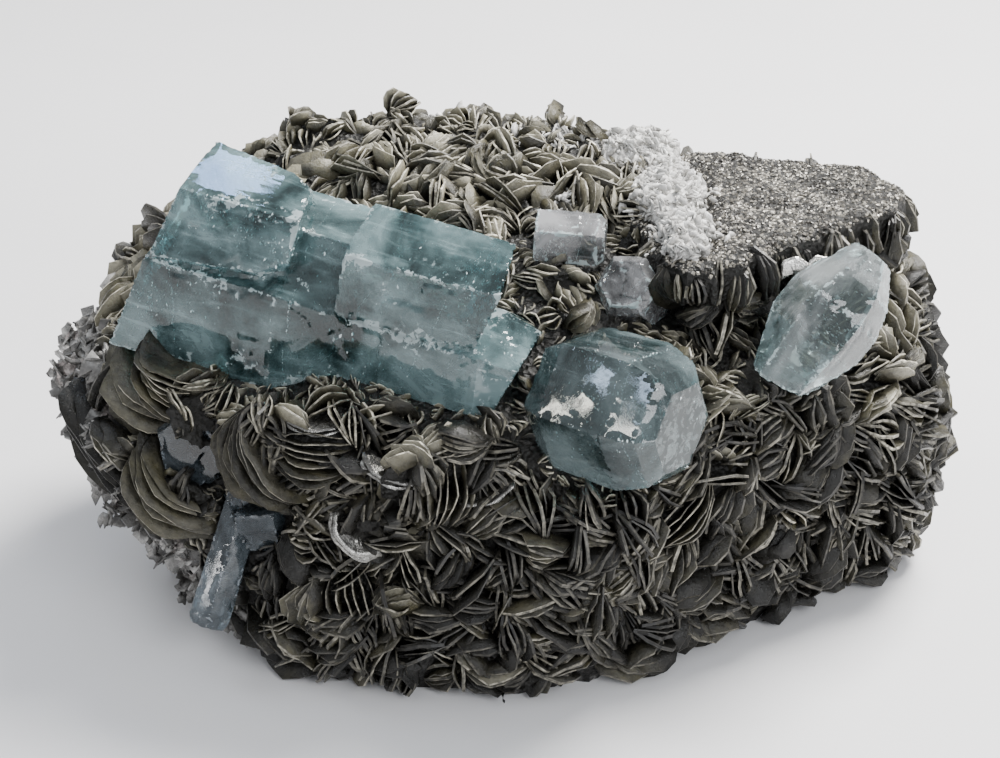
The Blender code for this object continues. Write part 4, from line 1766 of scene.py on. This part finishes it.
@dataclass
class Crystal:
    """One crystal: its solid with worn edges, and the cracks and specks inside it.

    The edges are worn over a width of wear and chipped to a depth of chip. A frosted line runs
    along them, partly wear and partly a painted highlight of their bright edges, and wider
    frosted patches lie beside them. Growth steps are plates of the given size across and along
    the axis, and matt_and_shaded_end is how matt the face is that ends the axis, and how far it
    takes the frosted colour.
    """

    node: str
    finish: CrystalFinish
    axis: Triple
    cracks: int = 4
    crack_specks: int = 500
    cloud_specks: int = 600
    voxel: float = 0.7
    smoothing: int = 2
    sharp_deg: float = 24.0
    wear: float = 1.3
    chip: float = 0.7
    line: float = 1.0
    frosted: float = 0.7
    matt_and_shaded_end: float = 0.0
    step: float = 0.28
    step_share: float = 0.58
    plates: Triple = (5.5, 5.5, 15.0)
    marks: tuple[Crack | Flecks, ...] = ()
    seed: int = 1
    solid: Solid | None = field(default=None, repr=False)

    def axes(self) -> Matrix:
        """The crystal's axes as a rotation, with its long axis as z."""
        return Vector(self.axis).to_track_quat("Z", "Y").to_matrix()

    def build(self, specks: bpy.types.Material) -> None:
        """Make the crystal's body in its solid's place, and the specks in it."""
        mesh = even_mesh(self.node, self.voxel, self.smoothing)
        self.carve(mesh)
        mesh.materials.append(self.finish.make(self.axes()))
        mesh.shade_smooth()
        mesh.set_sharp_from_angle(angle=math.radians(self.sharp_deg))
        place_piece(f"{self.node}_crystal", mesh, self.node, self.node)
        self.build_specks(specks)

    def carve(self, mesh: bpy.types.Mesh) -> None:
        """Lay the flats exactly on the solid, wear and chip the edges, and mark the frosted parts,
        partly as painted highlight and shade.
        """
        points, out = mesh_points(mesh), normals_of(mesh)
        gap = self.lay_on_solid(points)
        wear = self.wear * MM
        near = np.clip(1 - gap / wear, 0, 1)
        chips = np.clip(noise_at(points, 1.7) + 0.25 * noise_at(points, 5.0, 9.0), 0, 1)
        points -= out * (near * chips * self.chip * MM)[:, None]
        # The frosted line along the edges is partly wear and partly a painted highlight of the
        # bright edges.
        line = np.clip(1.15 - gap / (0.6 * wear), 0, 1)
        line *= np.clip(0.65 + 1.3 * noise_at(points, 5.0, 4.0), 0.1, 1) * self.line
        wide = np.clip(1 - gap / (5 * wear), 0, 1)
        wide *= np.clip(3 * (noise_at(points, 11.0, 12.0) - 0.2), 0, self.frosted)
        stepped, brink = self.steps(points)
        points -= out * (stepped * (1 - near) * self.step * MM)[:, None]
        # The end face takes the frosted colour: where that colour is dark, as on the clear finish,
        # it is a painted shade.
        end = np.clip(out @ direction(self.axis) * 10 - 8.5, 0, self.matt_and_shaded_end)
        frost_and_painted_light = np.maximum(line, brink * self.frosted) + wide + end
        set_points(mesh, points, np.clip(frost_and_painted_light, 0, 1))

    def lay_on_solid(self, points: np.ndarray) -> np.ndarray:
        """Move the points onto the solid: onto its edges where they are near, or its faces.

        Args:
            points: the mesh's points, which are changed.

        Returns:
            How far each point was from the nearest edge, in metres.
        """
        tree = tree_of(self.solid.edge_points(0.2 * MM))
        nearest = [tree.find(point) for point in points]
        for i, (edge, _, gap) in enumerate(nearest):
            on_edge = gap < 0.55 * self.voxel * MM
            points[i] = edge if on_edge else self.solid.tree.find_nearest(points[i])[0]
        return np.array([gap for _, _, gap in nearest])

    def steps(self, points: np.ndarray) -> tuple[np.ndarray, np.ndarray]:
        """Growth steps: flat plates along the axis, some a little lower than others.

        Args:
            points: points on the crystal, shaped (points, 3).

        Returns:
            How low each point's plate lies, and how near it is to the plate's brink.
        """
        local = points / MM @ np.array(self.axes())
        local += 0.25 * noise_at(points, 2.5, 6.0)[:, None]
        grown = noise_at(points, 10.0, 21.0) > -0.05

        def plate(shift: Triple) -> np.ndarray:
            """The plates' depths at the points, moved by a shift."""
            cells = (local + np.array(shift)) / np.array(self.plates)
            return np.array([noise.cell(Vector(cell)) > self.step_share for cell in cells], float)

        here = plate((0, 0, 0))
        beside = [plate(tuple(way)) for way in 0.5 * np.eye(3)]
        brink = np.max([abs(here - there) for there in beside], axis=0)
        return here * grown, brink * grown

    def build_specks(self, material: bpy.types.Material) -> bpy.types.Object:
        """Specks gathered in cracks across the axis, in clouds, and at the crystal's marks."""
        chance = np.random.default_rng(self.seed)
        axis = direction(self.axis)
        flakes = [self.strew_crack(chance) for _ in range(self.cracks)]
        for mark in self.marks:
            if isinstance(mark, Crack):
                found = self.solid.inner(mark.strew(self.solid, chance))
                flakes.append(flake_points(found, direction(mark.out), chance))
        where = self.strew_cloud(chance)
        size = (0.05 + 0.5 * chance.random(len(where)) ** 5) * MM
        grains = grain_points(where, size, 0.4, np.tile(axis, (len(where), 1)), chance)
        shapes = Shapes()
        shapes.add(grains, GRAIN_FACES, chance.uniform(0.2, 1, len(where)))
        thin = np.concatenate([*flakes, grains[:0]])
        shapes.add(thin, GRAIN_FACES, chance.uniform(0.0, 0.8, len(thin)))
        return shapes.build(f"{self.node}_specks", [material], self.node)

    def strew_crack(self, chance: np.random.Generator) -> np.ndarray:
        """Flakes in patches of a bent sheet across the crystal, somewhere in it.

        Args:
            chance: the source of random numbers.

        Returns:
            Points as grain_points gives them.
        """
        middle = chance.uniform(self.solid.low, self.solid.high)
        tilt = unit(direction(self.axis) + chance.normal(0, 0.22, 3))
        side = unit(np.cross(tilt, (0.3, 0.5, 0.8)))
        spread = chance.uniform(6, 24) * MM
        flat = chance.uniform(-spread, spread, (self.crack_specks * 3, 2))
        where = middle + flat[:, :1] * side + flat[:, 1:] * np.cross(tilt, side)
        where += tilt * noise_at(where, 9.0)[:, None] * 1.6 * MM
        where = where[noise_at(where, 3.5, 2.0) > 0.05]
        where = where[self.solid.depth(where, 1 * MM) > 0.3 * MM]
        return flake_points(where, tilt, chance)

    def strew_cloud(self, chance: np.random.Generator) -> np.ndarray:
        """Points in clouds inside the crystal, and in the flecks of its skin.

        Args:
            chance: the source of random numbers.

        Returns:
            The points, shaped (points, 3).
        """
        where = chance.uniform(self.solid.low, self.solid.high, (self.cloud_specks * 6, 3))
        where = where[noise_at(where, 8.0, 7.0) > 0.25]
        where = where[self.solid.depth(where, 1 * MM) > 0.5 * MM]
        skin = [mark.strew(self.solid, chance) for mark in self.marks if isinstance(mark, Flecks)]
        return self.solid.inner(np.concatenate([where, *skin]))


AQUA = CrystalFinish(
    "aquamarine", (0.115, 0.25, 0.26), (0.33, 0.475, 0.49), (0.26, 0.60, 0.64), 32.0
)
PALE = CrystalFinish(
    "aquamarine_pale", (0.24, 0.30, 0.30), (0.46, 0.49, 0.49), (0.42, 0.64, 0.66), 18.0
)
# Its frosted colour is dark and shows on its matt end: painted shade that keeps that face dark,
# besides the end's real matt etching.
CLEAR = CrystalFinish(
    "aquamarine_clear", (0.11, 0.18, 0.185), (0.25, 0.325, 0.335), (0.28, 0.58, 0.61), 40.0,
    frost_and_painted_light=(0.035, 0.05, 0.052), clear=(0.55, 0.90), gloss=0.28, ripple=0.05,
)
DEEP = CrystalFinish(
    "aquamarine_deep", (0.06, 0.09, 0.11), (0.20, 0.235, 0.26), (0.30, 0.46, 0.56), 40.0,
    frost_and_painted_light=(0.26, 0.29, 0.32), ripple=0.12,
)
HIDDEN = CrystalFinish(
    "aquamarine_hidden", (0.04, 0.06, 0.075), (0.13, 0.155, 0.175), (0.30, 0.46, 0.56), 60.0,
    frost_and_painted_light=(0.20, 0.23, 0.26),
)
SMOKE = CrystalFinish(
    "quartz", (0.38, 0.385, 0.39), (0.66, 0.66, 0.67), (0.60, 0.61, 0.63), 10.0, ior=1.544
)
MAIN_AXIS = (76, -32, -9)
MAIN_MARKS = (
    Crack((-35.8, -18.7, 77.4), MAIN_AXIS),
    Crack((-7.6, -30.6, 74.1), (0.81, -0.55, -0.42)),
    Crack((-61, -8, 80), (0.9, -0.3, 0.05)),
    Flecks((-54.5, -28.4, 96.9), 7, 420),
    Flecks((-47.3, -31.6, 95.1), 6, 360),
    Flecks((-42.4, -33.2, 91.5), 4, 420),
    Flecks((-64.6, -26.5, 81.7), 9, 260),
    Flecks((-71.3, -24, 76), 5, 300),
    Flecks((-3.9, -41.7, 91.1), 5, 250),
    Flecks((-5.8, -45.5, 86.5), 4, 400),
    Flecks((-28, -37, 71.2), 8, 160),
    Flecks((3.9, -43.5, 74.6), 6, 300),
    Flecks((-37, -30, 92), 3, 350),
    Flecks((-20, -37, 88), 14, 140),
)
CENTRE_MARKS = (
    Flecks((18.9, -66.5, 68.4), 12, 200),
    Flecks((29.3, -63.6, 75.4), 8, 160),
    Flecks((36.7, -57.7, 66.7), 7, 200),
    Crack((30, -58, 68), (0.75, -0.6, 0.3)),
)
RIGHT_MARKS = (
    Flecks((67.5, -37.7, 77.2), 5, 500, 1.5),
    Flecks((65.5, -34.8, 82.4), 4, 250),
    Flecks((71.9, -30.1, 85.7), 4, 250),
)
CRYSTALS = (
    Crystal(
        "aquamarine_main", AQUA, MAIN_AXIS, cracks=6, crack_specks=400, cloud_specks=500,
        frosted=0.5, marks=MAIN_MARKS, seed=1,
    ),
    Crystal(
        "aquamarine_centre", CLEAR, (0.80, -0.60, 0.03), cracks=3, crack_specks=200,
        cloud_specks=200, chip=0.5, line=0.0, frosted=0.0, step=0.0, matt_and_shaded_end=0.78,
        marks=CENTRE_MARKS, seed=2,
    ),
    Crystal(
        "aquamarine_right", PALE, (-0.63, -0.34, -0.70), cracks=2, crack_specks=200,
        cloud_specks=250, frosted=0.1, step=0.08, marks=RIGHT_MARKS, seed=3,
    ),
    Crystal(
        "aquamarine_lower", DEEP, (-0.30, -0.275, -0.913), cracks=1, crack_specks=200,
        cloud_specks=200, voxel=0.5, line=0.5, frosted=0.0, step=0.0, seed=4,
    ),
    Crystal(
        "aquamarine_left", HIDDEN, (-0.35, -0.85, 0.06), cracks=2, crack_specks=200,
        cloud_specks=150, line=0.6, frosted=0.1, seed=5,
    ),
    Crystal(
        "quartz_pale", SMOKE, (1, -0.12, -0.03), cracks=2, crack_specks=200, cloud_specks=300,
        voxel=0.5, frosted=0.4, seed=6,
    ),
    Crystal(
        "quartz_grey", SMOKE, (-0.35, -0.72, 0.60), cracks=1, crack_specks=200,
        cloud_specks=200, voxel=0.5, frosted=0.4, seed=7,
    ),
)


# ---- studio ----


@dataclass(frozen=True)
class SoftLight:
    """A square or upright area light. Its place and size are in millimetres, its power in W."""

    name: str
    place: Triple
    size: float
    power: float
    colour: Triple
    tall: float | None = None

    def build(self, target: Vector) -> None:
        """Add the light, looking at a target in millimetres."""
        data = bpy.data.lights.new(self.name, "AREA")
        data.shape = "RECTANGLE"
        data.size = self.size * MM
        data.size_y = (self.tall or self.size) * MM
        data.energy = self.power
        data.color = self.colour
        light = add_object(self.name, data)
        light.location = Vector(self.place) * MM
        aim = (Vector(self.place) - target).normalized()
        light.rotation_euler = aim.to_track_quat("Z", "Y").to_euler()


WARM = (1.0, 0.97, 0.86)
SKY = (0.60, 0.76, 1.0)
# A broad key from above and behind, a window at the left and a weak fill. Each glint stands
# where a crystal's face mirrors it towards the camera.
LIGHTS = (
    SoftLight("key", (330, 270, 640), 340, 19.0, (1.0, 0.985, 0.96)),
    SoftLight("window", (-420, 120, 560), 260, 1.0, (0.86, 0.93, 1.0)),
    SoftLight("fill", (430, -690, 530), 420, 5.0, (0.95, 0.97, 1.0)),
    SoftLight("glint_top", (-138, 284, 616), 40, 0.115, (0.40, 0.60, 1.0)),
    SoftLight("glint_front", (-193, -422, 446), 24, 0.045, (1.0, 0.99, 0.93)),
    SoftLight("glint_front_blue", (-172, -411, 470), 15, 0.010, SKY),
    SoftLight("glint_left", (-449, -134, 380), 11, 0.011, WARM),
    SoftLight("glint_left_small", (-441, -137, 390), 7, 0.0045, WARM),
    SoftLight("glint_left_blue", (-434, -134, 402), 9, 0.0045, SKY),
    SoftLight("glint_low", (-554, -298, 99), 7, 0.0075, (1.0, 1.0, 1.0), tall=24),
    SoftLight("glint_right", (404, -136, 522), 60, 0.045, (0.95, 0.98, 1.0)),
)


@dataclass
class Studio:
    """The pale sheet, the soft lights and the camera. Lengths are in millimetres.

    The sheet is a floor that bends up into a backdrop behind the specimen.
    """

    camera_height_deg: float = 28.0
    camera_distance: float = 517.0
    target: Triple = (0.0, 0.0, 45.0)
    lens: float = 85.0
    sheet_front: float = -1600.0
    sheet_bend: float = 900.0
    bend_radius: float = 600.0
    bend_steps: int = 15
    sheet_top: float = 2600.0
    sheet_half_width: float = 2600.0
    sky: Triple = (0.93, 0.95, 1.0)
    sky_strength: float = 0.8
    paper: PaperFinish = PaperFinish()

    def build(self) -> None:
        """Set up everything round the specimen."""
        self.build_sheet()
        self.build_camera()
        for light in LIGHTS:
            light.build(Vector(self.target))
        self.build_sky()

    def build_sheet(self) -> None:
        """Make the sheet."""
        start, radius, half = self.sheet_bend, self.bend_radius, self.sheet_half_width
        angles = np.radians(np.linspace(6, 90, self.bend_steps))
        profile = [(self.sheet_front, 0), (start, 0)]
        profile += [(start + radius * math.sin(a), radius - radius * math.cos(a)) for a in angles]
        profile.append((start + radius, self.sheet_top))
        bm = bmesh.new()
        rows = [[bm.verts.new(Vector((x, y, z)) * MM) for x in (-half, half)] for y, z in profile]
        for low, high in zip(rows, rows[1:]):
            bm.faces.new((low[0], low[1], high[1], high[0]))
        mesh = bpy.data.meshes.new("backdrop")
        bm.to_mesh(mesh)
        bm.free()
        mesh.shade_smooth()
        mesh.materials.append(self.paper.make())
        add_object("backdrop", mesh)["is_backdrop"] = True

    def build_camera(self) -> None:
        """Place the camera, looking down at the specimen's front."""
        height = math.radians(self.camera_height_deg)
        back = Vector((0, -math.cos(height), math.sin(height)))
        data = bpy.data.cameras.new("camera")
        data.lens = self.lens
        camera = add_object("camera", data)
        camera.location = (Vector(self.target) + back * self.camera_distance) * MM
        camera.rotation_euler = back.to_track_quat("Z", "Y").to_euler()
        bpy.context.scene.camera = camera

    def build_sky(self) -> None:
        """Give the surroundings their even, pale light."""
        world = bpy.data.worlds.new("studio")
        world.use_nodes = True
        background = world.node_tree.nodes["Background"]
        background.inputs["Color"].default_value = (*self.sky, 1.0)
        background.inputs["Strength"].default_value = self.sky_strength
        bpy.context.scene.world = world


SILVER_MICA = GrainFinish(
    "mica_silver", (0.03, 0.028, 0.022), (0.60, 0.59, 0.56), roughness=0.22, metal=0.9
)


def main() -> None:
    """Build every sub-assembly in order."""
    logging.basicConfig(level=logging.INFO, format="%(message)s")
    cad_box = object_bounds()
    Studio().build()
    for crystal in CRYSTALS:
        crystal.solid = Solid(crystal.node)
    solids = [crystal.solid for crystal in CRYSTALS]
    core = RockCore(crystals=solids)
    core.build()
    mica = [MicaFaceFinish().make(), MicaEdgeFinish().make()]
    MicaBooks(core, CrystalRoom(solids), mica, CurvedBooks.zones(), cad_box).build()
    CurvedBooks(mica, SILVER_MICA.make()).build()
    RoughEnd(core).build()
    LedgeCrust(core, mica).build()
    Albite(core).build()
    specks = SpeckFinish().make()
    for crystal in CRYSTALS:
        crystal.build(specks)


if __name__ == "__main__":
    main()
